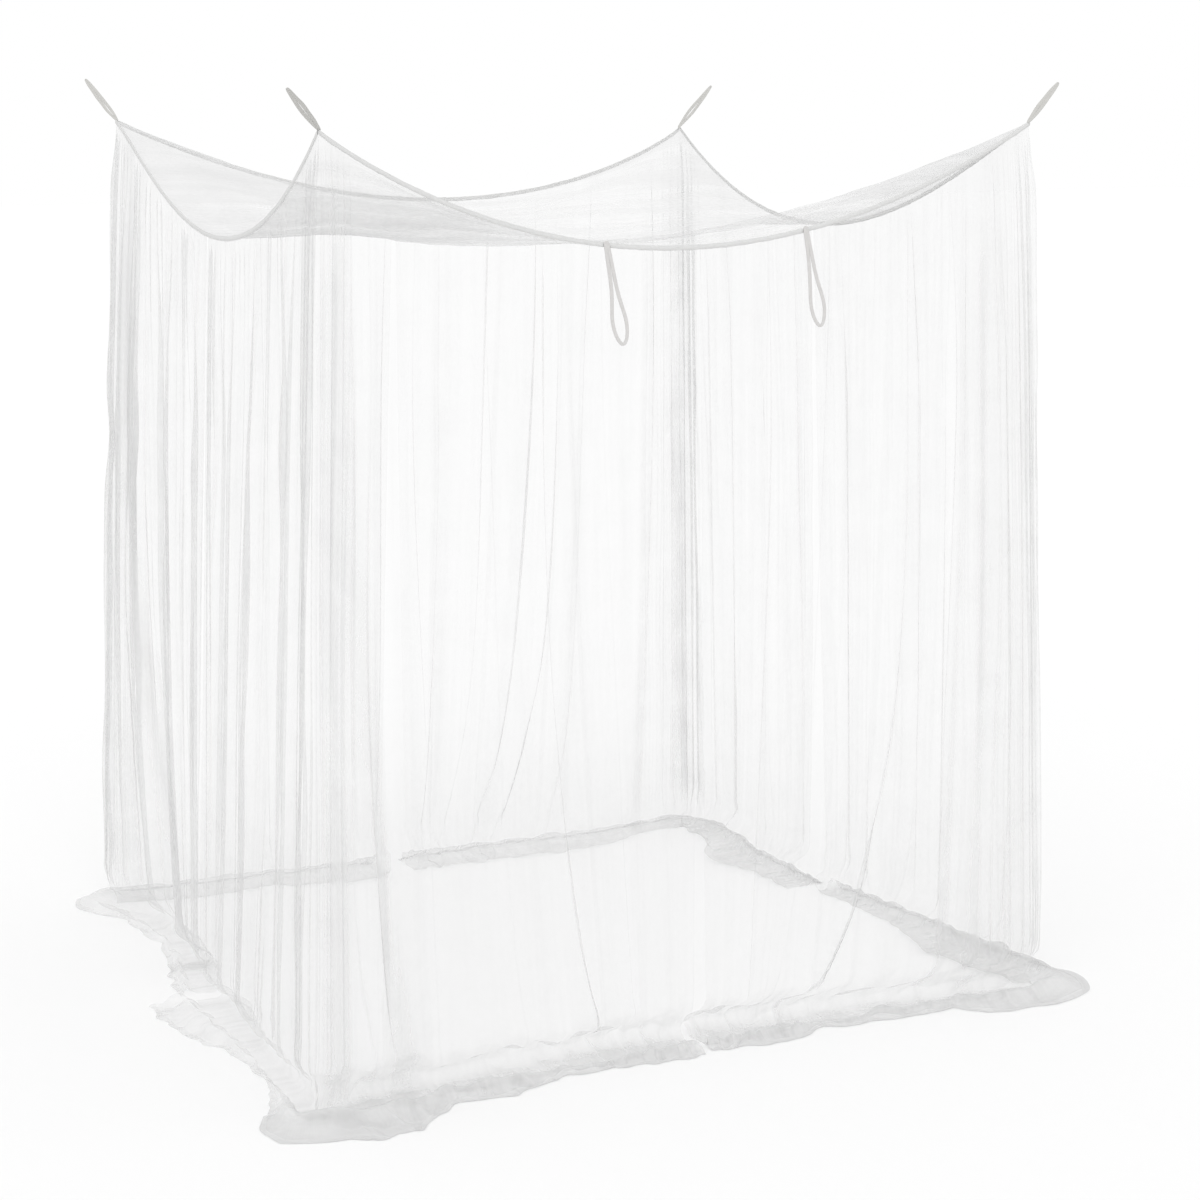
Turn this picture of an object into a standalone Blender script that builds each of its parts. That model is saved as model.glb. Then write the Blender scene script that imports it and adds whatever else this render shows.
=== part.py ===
"""Box mosquito net for a double bed, hung by its four top corners, with its hems lying on the floor.

A rectangular roof panel sags between four hooks. Four curtains of net hang below it, each wrapping one corner,
so that there is a way in at the middle of every side. A woven tape binds the seam along each top edge, a loop of
soft tape at each corner goes over a hook, and two longer loops hang from the front edge to tie the curtains back.
Metres, +Z up. The front is towards -Y. The origin is on the floor, under the middle of the whole net.
"""

import math

import bpy
import numpy as np

# Cloth and trim
CLOTH = 0.0015
SEAM_GAP = 0.0003
TAPE_HEIGHT = 0.012
TAPE_THICKNESS = 0.0016
TAPE_END_GAP = 0.0012
TAPE_STATIONS = 17
CURTAIN_INSET = TAPE_THICKNESS / 2 + SEAM_GAP + CLOTH / 2
ROOF_INSET = CURTAIN_INSET + CLOTH / 2 + SEAM_GAP

# The four hooks as hung, a little out of square, and how far each curtain's foot stands out from below its hook
CORNERS = {
    "front_left": {"hook": (-0.977, -0.922, 2.264), "foot": (-0.070, -0.020)},
    "front_right": {"hook": (0.952, -0.885, 2.278), "foot": (0.080, -0.035)},
    "back_right": {"hook": (0.917, 0.907, 2.257), "foot": (0.045, 0.020)},
    "back_left": {"hook": (-0.893, 0.899, 2.281), "foot": (-0.090, 0.040)},
}

# Each side runs anticlockwise, seen from above. low and door are fractions of its length from its start: where
# its edge sags lowest, and where its two curtains meet. parting is how far apart they are at the floor.
SIDES = {
    "front": {
        "start": "front_left",
        "end": "front_right",
        "sag": 0.282,
        "low": 0.480,
        "door": 0.500,
        "parting": 0.032,
    },
    "right": {
        "start": "front_right",
        "end": "back_right",
        "sag": 0.275,
        "low": 0.543,
        "door": 0.565,
        "parting": 0.060,
    },
    "back": {
        "start": "back_right",
        "end": "back_left",
        "sag": 0.219,
        "low": 0.463,
        "door": 0.535,
        "parting": 0.080,
    },
    "left": {
        "start": "back_left",
        "end": "front_left",
        "sag": 0.274,
        "low": 0.557,
        "door": 0.500,
        "parting": 0.050,
    },
}

# Each curtain lies along the end of its first side and the start of its second. The leans are how far the folds
# halfway along each wing swing towards the door by the floor.
CURTAINS = {
    "front_left": {"first": "left", "second": "front", "lean_first": 0.05, "lean_second": 0.13},
    "front_right": {"first": "front", "second": "right", "lean_first": 0.15, "lean_second": 0.08},
    "back_right": {"first": "right", "second": "back", "lean_first": 0.04, "lean_second": 0.13},
    "back_left": {"first": "back", "second": "left", "lean_first": 0.08, "lean_second": 0.12},
}

# Main folds of each curtain: where along it (minus on its first side), how wide, and how deep (plus outwards)
FOLD_COLUMNS = ("along", "width", "depth")
FOLDS = {
    "front_left": (
        (-0.800, 0.090, -0.018),
        (-0.640, 0.080, 0.020),
        (-0.460, 0.100, 0.024),
        (-0.290, 0.080, -0.020),
        (-0.150, 0.080, 0.022),
        (0.115, 0.070, 0.034),
        (0.240, 0.090, -0.020),
        (0.430, 0.110, 0.018),
        (0.600, 0.060, 0.024),
        (0.790, 0.110, -0.018),
    ),
    "front_right": (
        (-0.790, 0.100, 0.018),
        (-0.560, 0.070, 0.024),
        (-0.400, 0.080, -0.018),
        (-0.245, 0.080, 0.026),
        (-0.130, 0.060, -0.016),
        (0.150, 0.080, 0.026),
        (0.345, 0.090, -0.022),
        (0.520, 0.080, 0.024),
        (0.700, 0.090, -0.018),
        (0.880, 0.070, 0.020),
    ),
    "back_right": (
        (-0.690, 0.090, 0.020),
        (-0.530, 0.080, -0.018),
        (-0.265, 0.090, 0.022),
        (-0.130, 0.070, 0.024),
        (0.150, 0.070, -0.020),
        (0.310, 0.080, 0.022),
        (0.430, 0.060, -0.020),
        (0.600, 0.080, 0.026),
        (0.810, 0.090, 0.020),
    ),
    "back_left": (
        (-0.740, 0.090, 0.020),
        (-0.560, 0.100, -0.020),
        (-0.370, 0.090, 0.022),
        (-0.160, 0.080, -0.022),
        (0.140, 0.070, 0.024),
        (0.300, 0.090, 0.034),
        (0.420, 0.080, -0.024),
        (0.600, 0.080, 0.022),
        (0.760, 0.080, -0.020),
    ),
}
FOLDS_START = 0.016
FOLDS_FULL = 0.55

LEAN_POWER = 1.7

# The dense upright folds at each corner
GATHER_DEPTH = 0.014
GATHER_STEP = 0.014
GATHER_STEPS = 4
GATHER_FULL = 0.16

# Corner rounding where the curtains reach the floor
FOOT_ROUNDING = 0.08
ROUNDING_REACH = 0.3
NORMAL_BLEND_TOP = 0.002
NORMAL_BLEND_FLOOR = 0.055

# The ways in are nearly closed under the tape
DOOR_GAP_TOP = 0.008

# Rows of each curtain, from its top edge down to just above the floor
BELOW_TAPE = 0.004
UPPER_ROWS = (0.06, 0.18, 0.40)
LOWER_ROWS = 2
FOOT_HEIGHT = 0.125

# The cloth that lies on the floor. It slumps inwards, turns under and comes out past the curtain's foot. across is
# a share of tuck where minus and of reach where plus, and height is a share of lump.
POOL_COLUMNS = ("across", "height")
POOL_ROWS = (
    (-0.35, 1.90),
    (-0.85, 1.25),
    (-1.00, 0.60),
    (-0.70, 0.00),
    (0.10, 0.00),
    (0.42, 0.85),
    (0.74, 0.15),
    (1.00, 0.00),
)
STEEPEST_RIDGE = 0.5

# How the hem lies, at places along each curtain's foot: how far the foot stands out, and the reach outwards, tuck
# inwards and lump upwards of the cloth there
HEM_COLUMNS = ("place", "stance", "reach", "tuck", "lump")
HEMS = {
    "front_left": (
        (-0.91, 0.00, 0.14, 0.06, 0.028),
        (-0.74, 0.00, 0.13, 0.08, 0.032),
        (-0.60, 0.00, 0.10, 0.07, 0.034),
        (-0.50, 0.00, 0.04, 0.05, 0.030),
        (-0.24, 0.00, 0.02, 0.05, 0.034),
        (-0.10, 0.00, 0.07, 0.05, 0.044),
        (0.00, 0.00, 0.15, 0.03, 0.048),
        (0.10, 0.00, 0.18, 0.06, 0.046),
        (0.20, 0.00, 0.17, 0.07, 0.042),
        (0.34, 0.00, 0.07, 0.08, 0.036),
        (0.46, 0.00, 0.09, 0.09, 0.040),
        (0.62, 0.00, 0.03, 0.10, 0.036),
        (0.80, 0.00, 0.05, 0.11, 0.042),
        (0.91, 0.00, 0.07, 0.09, 0.042),
        (1.00, 0.00, 0.03, 0.05, 0.034),
    ),
    "front_right": (
        (-1.00, 0.00, 0.03, 0.08, 0.034),
        (-0.93, 0.00, 0.05, 0.12, 0.040),
        (-0.78, 0.00, 0.07, 0.08, 0.042),
        (-0.65, 0.00, 0.03, 0.09, 0.038),
        (-0.47, 0.00, 0.05, 0.08, 0.036),
        (-0.30, 0.00, 0.05, 0.06, 0.034),
        (-0.25, 0.00, 0.12, 0.05, 0.034),
        (0.00, 0.00, 0.14, 0.03, 0.036),
        (0.16, 0.00, 0.12, 0.10, 0.040),
        (0.38, 0.00, 0.08, 0.12, 0.044),
        (0.60, 0.00, 0.09, 0.04, 0.034),
        (0.87, 0.00, 0.07, 0.03, 0.028),
        (1.03, 0.00, 0.05, 0.05, 0.032),
    ),
    "back_right": (
        (-0.80, -0.02, 0.04, 0.09, 0.046),
        (-0.57, -0.03, 0.06, 0.09, 0.036),
        (-0.41, -0.05, 0.08, 0.12, 0.040),
        (-0.22, 0.00, 0.08, 0.06, 0.030),
        (0.00, 0.00, 0.10, 0.03, 0.026),
        (0.18, 0.00, 0.07, 0.04, 0.026),
        (0.29, -0.03, 0.08, 0.08, 0.030),
        (0.47, -0.04, 0.10, 0.09, 0.034),
        (0.75, -0.03, 0.10, 0.08, 0.030),
        (0.99, -0.02, 0.06, 0.09, 0.042),
    ),
    "back_left": (
        (-0.87, 0.01, 0.05, 0.07, 0.050),
        (-0.74, -0.05, 0.10, 0.10, 0.036),
        (-0.60, -0.04, 0.10, 0.09, 0.032),
        (-0.48, 0.00, 0.07, 0.08, 0.028),
        (-0.20, -0.02, 0.09, 0.08, 0.030),
        (0.00, 0.00, 0.11, 0.03, 0.028),
        (0.10, -0.01, 0.06, 0.04, 0.028),
        (0.20, -0.05, 0.04, 0.06, 0.030),
        (0.45, -0.07, 0.03, 0.06, 0.032),
        (0.62, -0.05, 0.04, 0.07, 0.034),
        (0.83, -0.01, 0.05, 0.08, 0.040),
        (0.93, 0.00, 0.03, 0.05, 0.030),
    ),
}
STANCE_POWER = 3

# Spacing of the points along each curtain
WIDEST_STATION_GAP = 0.115
CLOSEST_STATIONS = 0.012

# The sheet's faces stand out no further than this allows where the net turns sharply
CLOSEST_NORMALS = 0.6

# Roof panel
ROOF_CELLS = 14
ROOF_POWER = 4
ROOF_RIDGE_DEPTH = 0.007
ROOF_RIDGES = 5
ROOF_RIDGE_REACH = 0.75

# Loops of soft tape: a flat, rounded section swept round an eye. heading and lift say where a corner loop pulls.
LOOP_SECTION_SIDES = 6
LOOP_STEPS = 24
LOOP_TIP_RADIUS = 0.62
LOOP_TIP_BLUNTNESS = 0.35
LOOP_FULLNESS = 1.3
CORNER_LOOP = {"length": 0.172, "eye": 0.0150, "width": 0.0062, "thickness": 0.0026, "widest": 0.42}
CORNER_LOOPS = {
    "front_left": {"heading": -137, "lift": 30},
    "front_right": {"heading": 24, "lift": 34},
    "back_right": {"heading": 6, "lift": 46},
    "back_left": {"heading": 112, "lift": 40},
}
TIE_BACK = {"length": 0.245, "eye": 0.0400, "width": 0.0095, "thickness": 0.0026, "widest": 0.78}
TIE_BACKS = {
    "left": {"along": 0.715, "swing": 0.038},
    "right": {"along": 1.263, "swing": 0.038},
}
TIE_BACK_STANDOFF = 0.017

# Colours, roughness
NET = {"colour": (0.82, 0.82, 0.82), "roughness": 0.85}
TAPE = {"colour": (0.72, 0.72, 0.71), "roughness": 0.80}
LOOP = {"colour": (0.60, 0.59, 0.57), "roughness": 0.80}


def smooth(x):
    """An even ramp from 0 to 1."""
    x = min(1.0, max(0.0, x))
    return x * x * (3 - 2 * x)


def unit(vector):
    """The same direction, one long."""
    return vector / np.linalg.norm(vector)


def hook(corner):
    """Where the corner hangs."""
    return np.array(CORNERS[corner]["hook"])


def side_line(side):
    """The side's start and end in plan, its length, its direction and its outward normal."""
    start = hook(SIDES[side]["start"])[:2]
    end = hook(SIDES[side]["end"])[:2]
    length = np.linalg.norm(end - start)
    direction = (end - start) / length
    outward = np.array([direction[1], -direction[0]])
    return start, length, direction, outward


def sag(side, fraction):
    """How far the side's edge hangs below the line between its hooks."""
    skew = math.log(0.5) / math.log(SIDES[side]["low"])
    along = min(1.0, max(0.0, fraction)) ** skew
    return SIDES[side]["sag"] * 4 * along * (1 - along)


def edge_height(side, fraction):
    """Height of the middle of the edge tape."""
    start = hook(SIDES[side]["start"])[2]
    end = hook(SIDES[side]["end"])[2]
    return start + (end - start) * fraction - sag(side, fraction)


def edge_point(side, fraction):
    """The middle of the edge tape, this far along the side."""
    start, length, direction, _ = side_line(side)
    plan = start + direction * length * fraction
    return np.array([*plan, edge_height(side, fraction)])


def mitre(first_outward, second_outward, distance):
    """The step from a corner to the corner of the outline that lies this far inside."""
    return -(first_outward + second_outward) * distance / (1 + first_outward @ second_outward)


class Curtain:
    """A length of net that wraps one corner. along is measured from the corner, minus on the first side."""

    def __init__(self, corner):
        self.name = corner
        self.plan = CURTAINS[corner]
        self.hook = hook(corner)
        first, second = self.plan["first"], self.plan["second"]
        _, first_length, first_direction, self.first_outward = side_line(first)
        _, second_length, second_direction, self.second_outward = side_line(second)
        self.first_length = (1 - SIDES[first]["door"]) * first_length - DOOR_GAP_TOP / 2
        self.second_length = SIDES[second]["door"] * second_length - DOOR_GAP_TOP / 2
        self.first_side_length, self.second_side_length = first_length, second_length
        self.towards_first = -first_direction
        self.towards_second = second_direction

    def edge_height(self, along):
        if along < 0:
            return edge_height(self.plan["first"], 1 + along / self.first_side_length)
        return edge_height(self.plan["second"], along / self.second_side_length)

    def drifted(self, along, level):
        """Where a thread that starts at this place lies at this level, 0 at the tape and 1 at the floor."""
        which = "first" if along < 0 else "second"
        length = self.first_length if along < 0 else self.second_length
        share = min(1.0, abs(along) / length)
        swing = self.plan["lean_" + which] * math.sin(math.pi * share) * level**LEAN_POWER
        parted = (SIDES[self.plan[which]]["parting"] - DOOR_GAP_TOP) / 2 * share**3 * level
        return along + math.copysign(1, along) * (swing - parted)

    def outward(self, along, level):
        """The way that the wall faces, turning from one side to the other at the corner."""
        blend = NORMAL_BLEND_TOP + (NORMAL_BLEND_FLOOR - NORMAL_BLEND_TOP) * level
        share = smooth(0.5 + along / (2 * blend))
        return unit(self.first_outward * (1 - share) + self.second_outward * share)

    def foot_shift(self, along):
        """How far the curtain stands out at the floor, from this corner's to that of the next corner."""
        side = self.plan["first"] if along < 0 else self.plan["second"]
        far = SIDES[side]["start"] if along < 0 else SIDES[side]["end"]
        length = self.first_side_length if along < 0 else self.second_side_length
        share = min(1.0, abs(along) / length)
        near_foot = np.array(CORNERS[self.name]["foot"])
        far_foot = np.array(CORNERS[far]["foot"])
        return near_foot * (1 - share) + far_foot * share

    def base(self, along, level):
        """The curtain in plan, before its folds."""
        rounding = FOOT_ROUNDING * level
        place = self.drifted(along, level)
        spread = math.hypot(place, rounding)
        plan = self.hook[:2] + self.foot_shift(along) * level
        plan = plan + self.towards_first * (spread - place) / 2 + self.towards_second * (spread + place) / 2
        plan = plan - (self.towards_first + self.towards_second) * rounding / 2 * math.exp(-abs(place) / ROUNDING_REACH)
        if abs(along) < CLOSEST_STATIONS:
            return plan + mitre(self.first_outward, self.second_outward, CURTAIN_INSET)
        return plan - self.outward(along, level) * CURTAIN_INSET

    def fold(self, along, below_edge):
        """How far the folds stand out, this far below the top edge."""
        out = 0.0
        for row in FOLDS[self.name]:
            fold = dict(zip(FOLD_COLUMNS, row))
            share = (along - fold["along"]) / fold["width"]
            if abs(share) < 0.5:
                out += fold["depth"] * math.cos(math.pi * share) ** 2
        out *= smooth((below_edge - FOLDS_START) / FOLDS_FULL)
        steps = abs(along) / GATHER_STEP
        if steps <= GATHER_STEPS + 0.5:
            ridge = GATHER_DEPTH * math.cos(math.pi * steps / 2) ** 2
            out += ridge * smooth((below_edge - FOLDS_START) / GATHER_FULL)
        return out

    def hem(self, along):
        """Stance, reach, tuck and lump of the cloth on the floor."""
        rows = np.array(HEMS[self.name])
        place = self.drifted(along, 1.0)
        return [np.interp(place, rows[:, 0], rows[:, HEM_COLUMNS.index(size)]) for size in HEM_COLUMNS[1:]]

    def stations(self):
        """Where the solid has its columns of points: the corner's gathers, each fold's crest and flanks, and more."""
        gathers = [k * GATHER_STEP for k in range(-GATHER_STEPS, GATHER_STEPS + 1)]
        folds = [dict(zip(FOLD_COLUMNS, row)) for row in FOLDS[self.name]]
        wanted = [fold["along"] + side * fold["width"] / 2 for fold in folds for side in (0, -1, 1)]
        ends = [-self.first_length, self.second_length]
        kept = gathers + ends
        for place in wanted:
            if ends[0] < place < ends[1] and min(abs(place - other) for other in kept) > CLOSEST_STATIONS:
                kept.append(place)
        kept.sort()
        filled = [kept[0]]
        for place in kept[1:]:
            gap = place - filled[-1]
            pieces = math.ceil(gap / WIDEST_STATION_GAP)
            filled.extend(filled[-1] + gap / pieces * k for k in range(1, pieces))
            filled.append(place)
        return filled

    def column(self, along):
        """The points of the cloth from its top edge, down the wall and through the pool on the floor."""
        edge = self.edge_height(along)
        below = [-TAPE_HEIGHT / 2, TAPE_HEIGHT / 2 + BELOW_TAPE, *UPPER_ROWS]
        lower_rows = np.linspace(UPPER_ROWS[-1], edge - FOOT_HEIGHT, LOWER_ROWS + 2)
        below.extend(lower_rows[1:])
        stance, reach, tuck, lump = self.hem(along)
        points = []
        for distance in below:
            level = max(0.0, distance - TAPE_HEIGHT / 2) / edge
            out = self.fold(along, distance) + stance * level**STANCE_POWER
            points.append((*(self.base(along, level) + self.outward(along, level) * out), edge - distance))
        foot, outward = self.base(along, 1.0), self.outward(along, 1.0)
        for row in POOL_ROWS:
            place = dict(zip(POOL_COLUMNS, row))
            out = stance + place["across"] * (tuck if place["across"] < 0 else reach)
            tallest = lump if place["across"] < 0 else min(lump, reach * STEEPEST_RIDGE)
            points.append((*(foot + outward * out), CLOTH / 2 + place["height"] * tallest))
        return points

    def grid(self):
        """All columns of points as a grid of rows and columns."""
        columns = [self.column(along) for along in self.stations()]
        return np.array(columns).transpose(1, 0, 2)


def roof_grid():
    """The roof panel: a shallow basin that rises to a horn at each hook, with ridges of tension round each one."""
    inner = {}
    for corner, plan in CURTAINS.items():
        outwards = [side_line(plan[which])[3] for which in ("first", "second")]
        inner[corner] = hook(corner)[:2] + mitre(*outwards, ROOF_INSET)
    shares = [(1 - math.cos(math.pi * k / ROOF_CELLS)) / 2 for k in range(ROOF_CELLS + 1)]
    points = []
    for back in shares:
        row = []
        for right in shares:
            weights = {
                "front_left": (1 - right) * (1 - back),
                "front_right": right * (1 - back),
                "back_right": right * back,
                "back_left": (1 - right) * back,
            }
            plan = sum(inner[corner] * weight for corner, weight in weights.items())
            height = sum(hook(corner)[2] * weight for corner, weight in weights.items())
            row.append((*plan, height - roof_sag(right, back) + roof_ridges(right, back)))
        points.append(row)
    return np.array(points)


def roof_sag(right, back):
    lengthwise = sag("front", right) * (1 - back) + sag("back", 1 - right) * back
    crosswise = sag("left", 1 - back) * (1 - right) + sag("right", back) * right
    return (lengthwise**ROOF_POWER + crosswise**ROOF_POWER) ** (1 / ROOF_POWER)


def roof_ridges(right, back):
    """Soft ridges that fan out from each hook and fade towards the edges and the middle."""
    height = 0.0
    for across, up in ((right, back), (1 - right, back), (right, 1 - back), (1 - right, 1 - back)):
        distance = math.hypot(across, up)
        if 0 < distance < ROOF_RIDGE_REACH:
            turn = math.atan2(up, across) / (math.pi / 2)
            fade = math.sin(math.pi * turn) * math.sin(math.pi * distance / ROOF_RIDGE_REACH)
            height += ROOF_RIDGE_DEPTH * fade * math.cos(math.pi * ROOF_RIDGES * turn)
    return height


def sheet_offsets(points):
    """For each point of a grid, the step to the sheet's outer face, so that flanks and creases are equally thick."""
    along = np.diff(points, axis=1)[:-1] + np.diff(points, axis=1)[1:]
    down = np.diff(points, axis=0)[:, :-1] + np.diff(points, axis=0)[:, 1:]
    cells = np.cross(down, along)
    cells /= np.linalg.norm(cells, axis=2, keepdims=True)
    rows, columns = points.shape[:2]
    total = np.zeros_like(points)
    around = [[[] for _ in range(columns)] for _ in range(rows)]
    for r in range(rows - 1):
        for c in range(columns - 1):
            for at in ((r, c), (r, c + 1), (r + 1, c), (r + 1, c + 1)):
                total[at] += cells[r, c]
                around[at[0]][at[1]].append(cells[r, c])
    normals = total / np.linalg.norm(total, axis=2, keepdims=True)
    offsets = np.zeros_like(points)
    for r in range(rows):
        for c in range(columns):
            closeness = min(float(normals[r, c] @ cell) for cell in around[r][c])
            offsets[r, c] = normals[r, c] * CLOTH / 2 / max(CLOSEST_NORMALS, closeness)
    return offsets


def thick_sheet(points):
    """Vertices and triangles of a closed sheet about a grid of points."""
    rows, columns = points.shape[:2]
    offsets = sheet_offsets(points)
    vertices = np.concatenate([(points + offsets).reshape(-1, 3), (points - offsets).reshape(-1, 3)])
    behind = rows * columns
    faces = []

    def quad(a, b, c, d):
        faces.extend([(a, b, c), (a, c, d)])

    for r in range(rows - 1):
        for c in range(columns - 1):
            a, b = r * columns + c, r * columns + c + 1
            d, e = a + columns, b + columns
            quad(a, d, e, b)
            faces.extend([(a + behind, e + behind, d + behind), (a + behind, b + behind, e + behind)])
    last = (rows - 1) * columns
    for c in range(columns - 1):
        quad(c, c + 1, c + 1 + behind, c + behind)
        quad(last + c + 1, last + c, last + c + behind, last + c + 1 + behind)
    for r in range(rows - 1):
        near, far = r * columns, r * columns + columns - 1
        quad(near, near + behind, near + columns + behind, near + columns)
        quad(far, far + columns, far + columns + behind, far + behind)
    return vertices, faces


def tape_mesh(side):
    """A flat tape on its edge, straight in plan and sagging with the cloth."""
    _, length, direction, outward = side_line(side)
    margin = TAPE_END_GAP / length
    out = np.array([*outward, 0]) * TAPE_THICKNESS / 2
    up = np.array([0, 0, TAPE_HEIGHT / 2])
    rings = []
    for k in range(TAPE_STATIONS):
        fraction = margin + (1 - 2 * margin) * k / (TAPE_STATIONS - 1)
        middle = edge_point(side, fraction)
        rings.append([middle + out + up, middle + out - up, middle - out - up, middle - out + up])
    return swept(rings)


def swept(rings, closed=False):
    """Skin the rings into one body. Each ring turns clockwise, seen along the way that the rings go."""
    count = len(rings[0])
    vertices = np.array(rings).reshape(-1, 3)
    faces = []
    for r in range(len(rings) if closed else len(rings) - 1):
        here, there = r * count, (r + 1) % len(rings) * count
        for k in range(count):
            a, b = here + k, here + (k + 1) % count
            c, d = there + (k + 1) % count, there + k
            faces.extend([(a, b, c), (a, c, d)])
    if not closed:
        faces.extend((0, k + 1, k) for k in range(1, count - 1))
        last = (len(rings) - 1) * count
        faces.extend((last, last + k, last + k + 1) for k in range(1, count - 1))
    return vertices, faces


def loop_mesh(shape, foot, axis, across):
    """A loop of soft flat tape: both ends sewn down at foot, the eye opening along across, the tip along axis."""
    normal = np.cross(axis, across)
    power = math.log(0.5) / math.log(shape["widest"])
    tip_radius = shape["width"] * LOOP_TIP_RADIUS
    length = shape["length"] - shape["width"]
    path = []
    for k in range(LOOP_STEPS):
        angle = 2 * math.pi * k / LOOP_STEPS
        along = (1 - math.cos(angle)) / 2
        eye = (shape["eye"] / 2 - tip_radius) * abs(math.sin(math.pi * along**power)) ** LOOP_FULLNESS + tip_radius
        aside = eye * math.copysign(abs(math.sin(angle)) ** LOOP_TIP_BLUNTNESS, math.sin(angle))
        path.append(foot + axis * (shape["width"] / 2 + along * length) + across * aside)
    rings = []
    for k, point in enumerate(path):
        ahead = unit(path[(k + 1) % LOOP_STEPS] - path[k - 1])
        wide = np.cross(normal, ahead)
        ring = []
        for s in range(LOOP_SECTION_SIDES):
            turn = 2 * math.pi * s / LOOP_SECTION_SIDES
            aside = wide * math.cos(turn) * shape["width"] / 2
            ring.append(point + aside + normal * math.sin(turn) * shape["thickness"] / 2)
        rings.append(ring)
    return swept(rings, closed=True)


def corner_loop_mesh(corner):
    pull = CORNER_LOOPS[corner]
    heading, lift = math.radians(pull["heading"]), math.radians(pull["lift"])
    flat = np.array([math.cos(heading), math.sin(heading), 0])
    axis = flat * math.cos(lift) + np.array([0, 0, math.sin(lift)])
    across = np.array([-math.sin(heading), math.cos(heading), 0])
    outwards = [side_line(CURTAINS[corner][which])[3] for which in ("first", "second")]
    foot = hook(corner) + np.array([*mitre(*outwards, CURTAIN_INSET), 0])
    vertices, faces = loop_mesh(CORNER_LOOP, foot, axis, across)
    seat = hook(corner)[2] + TAPE_HEIGHT / 2 + SEAM_GAP
    vertices[:, 2] += seat - vertices[:, 2].min()
    return vertices, faces


def tie_back_mesh(name):
    place = TIE_BACKS[name]
    _, length, direction, outward = side_line("front")
    top = edge_point("front", place["along"] / length)
    out = np.array([*outward, 0])
    foot = top + out * (TAPE_THICKNESS / 2 + SEAM_GAP + TIE_BACK["thickness"] / 2)
    foot = foot + np.array([0, 0, TAPE_HEIGHT / 2])
    drop = np.array([*(direction * place["swing"]), -TIE_BACK["length"]]) + out * TIE_BACK_STANDOFF
    axis = unit(drop)
    across = unit(np.cross(axis, out))
    return loop_mesh(TIE_BACK, foot, axis, across)


def finish(name, look):
    """A plain material with the piece's colour and roughness."""
    material = bpy.data.materials.new(name)
    material.use_nodes = True
    shader = material.node_tree.nodes["Principled BSDF"]
    shader.inputs["Base Color"].default_value = (*look["colour"], 1)
    shader.inputs["Roughness"].default_value = look["roughness"]
    shader.inputs["Metallic"].default_value = 0.0
    return material


def add_object(name, mesh_data, look, place, parent):
    """One closed body, with its origin at the place where it is held."""
    vertices, faces = mesh_data
    mesh = bpy.data.meshes.new(name)
    mesh.from_pydata([tuple(v) for v in vertices - place], [], faces)
    mesh.shade_smooth()
    mesh.materials.append(finish(name, look))
    body = bpy.data.objects.new(name, mesh)
    body.location = tuple(place)
    body.parent = parent
    bpy.context.scene.collection.objects.link(body)
    return body


def build_net():
    """Every piece, then the whole net moved so that the origin is on the floor under its middle."""
    for old in list(bpy.data.objects):
        bpy.data.objects.remove(old)
    middle = bpy.data.objects.new("net_middle", None)
    bpy.context.scene.collection.objects.link(middle)
    bodies = [add_object("roof_panel", thick_sheet(roof_grid()), NET, hook("front_left"), middle)]
    for corner in CORNERS:
        curtain = thick_sheet(Curtain(corner).grid())
        bodies.append(add_object("curtain_" + corner, curtain, NET, hook(corner), middle))
        loop = corner_loop_mesh(corner)
        bodies.append(add_object("corner_loop_" + corner, loop, LOOP, hook(corner), middle))
    for side in SIDES:
        bodies.append(add_object("edge_tape_" + side, tape_mesh(side), TAPE, edge_point(side, 0.5), middle))
    for name, place in TIE_BACKS.items():
        top = edge_point("front", place["along"] / side_line("front")[1])
        bodies.append(add_object("tie_back_" + name, tie_back_mesh(name), LOOP, top, middle))
    corners = np.array([np.array(body.location) + np.array(v.co) for body in bodies for v in body.data.vertices])
    low, high = corners.min(axis=0), corners.max(axis=0)
    middle.location = (-(low[0] + high[0]) / 2, -(low[1] + high[1]) / 2, -low[2])


build_net()
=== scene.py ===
"""Looks of the box mosquito net: sheer curtains, a sagging roof, bound edges and loops of woven tape.

White net hangs above a white floor. Each panel is a single thin sheet that follows the folds of its solid and
adds the fine pleats, creases and crumpled hems. Metres, +Z up, the front towards -Y, the origin on the floor.
"""
import math

import bpy
import numpy as np
from mathutils import Matrix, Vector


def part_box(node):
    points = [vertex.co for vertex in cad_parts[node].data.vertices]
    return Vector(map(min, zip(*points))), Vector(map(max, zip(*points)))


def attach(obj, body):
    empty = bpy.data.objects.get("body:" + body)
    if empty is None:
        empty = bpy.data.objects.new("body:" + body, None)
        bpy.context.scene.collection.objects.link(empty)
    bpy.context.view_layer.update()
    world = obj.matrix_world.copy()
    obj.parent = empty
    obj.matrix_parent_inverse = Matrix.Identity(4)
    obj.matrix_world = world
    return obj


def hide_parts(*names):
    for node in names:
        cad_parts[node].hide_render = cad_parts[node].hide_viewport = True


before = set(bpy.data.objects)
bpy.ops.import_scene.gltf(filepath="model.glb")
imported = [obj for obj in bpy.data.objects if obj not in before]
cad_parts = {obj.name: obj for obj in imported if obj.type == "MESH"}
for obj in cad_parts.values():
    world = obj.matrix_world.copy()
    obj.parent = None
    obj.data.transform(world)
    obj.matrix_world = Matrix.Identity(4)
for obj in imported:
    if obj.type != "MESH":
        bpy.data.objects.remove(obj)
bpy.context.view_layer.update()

# Camera, as in the photograph: metres from the tables' own origin, and degrees
CAMERA_PLACE = (-3.069, -6.447, 2.302)
CAMERA_YAW = 26.75
CAMERA_PITCH = 10.45
CAMERA_FIELD = 25.63

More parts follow.
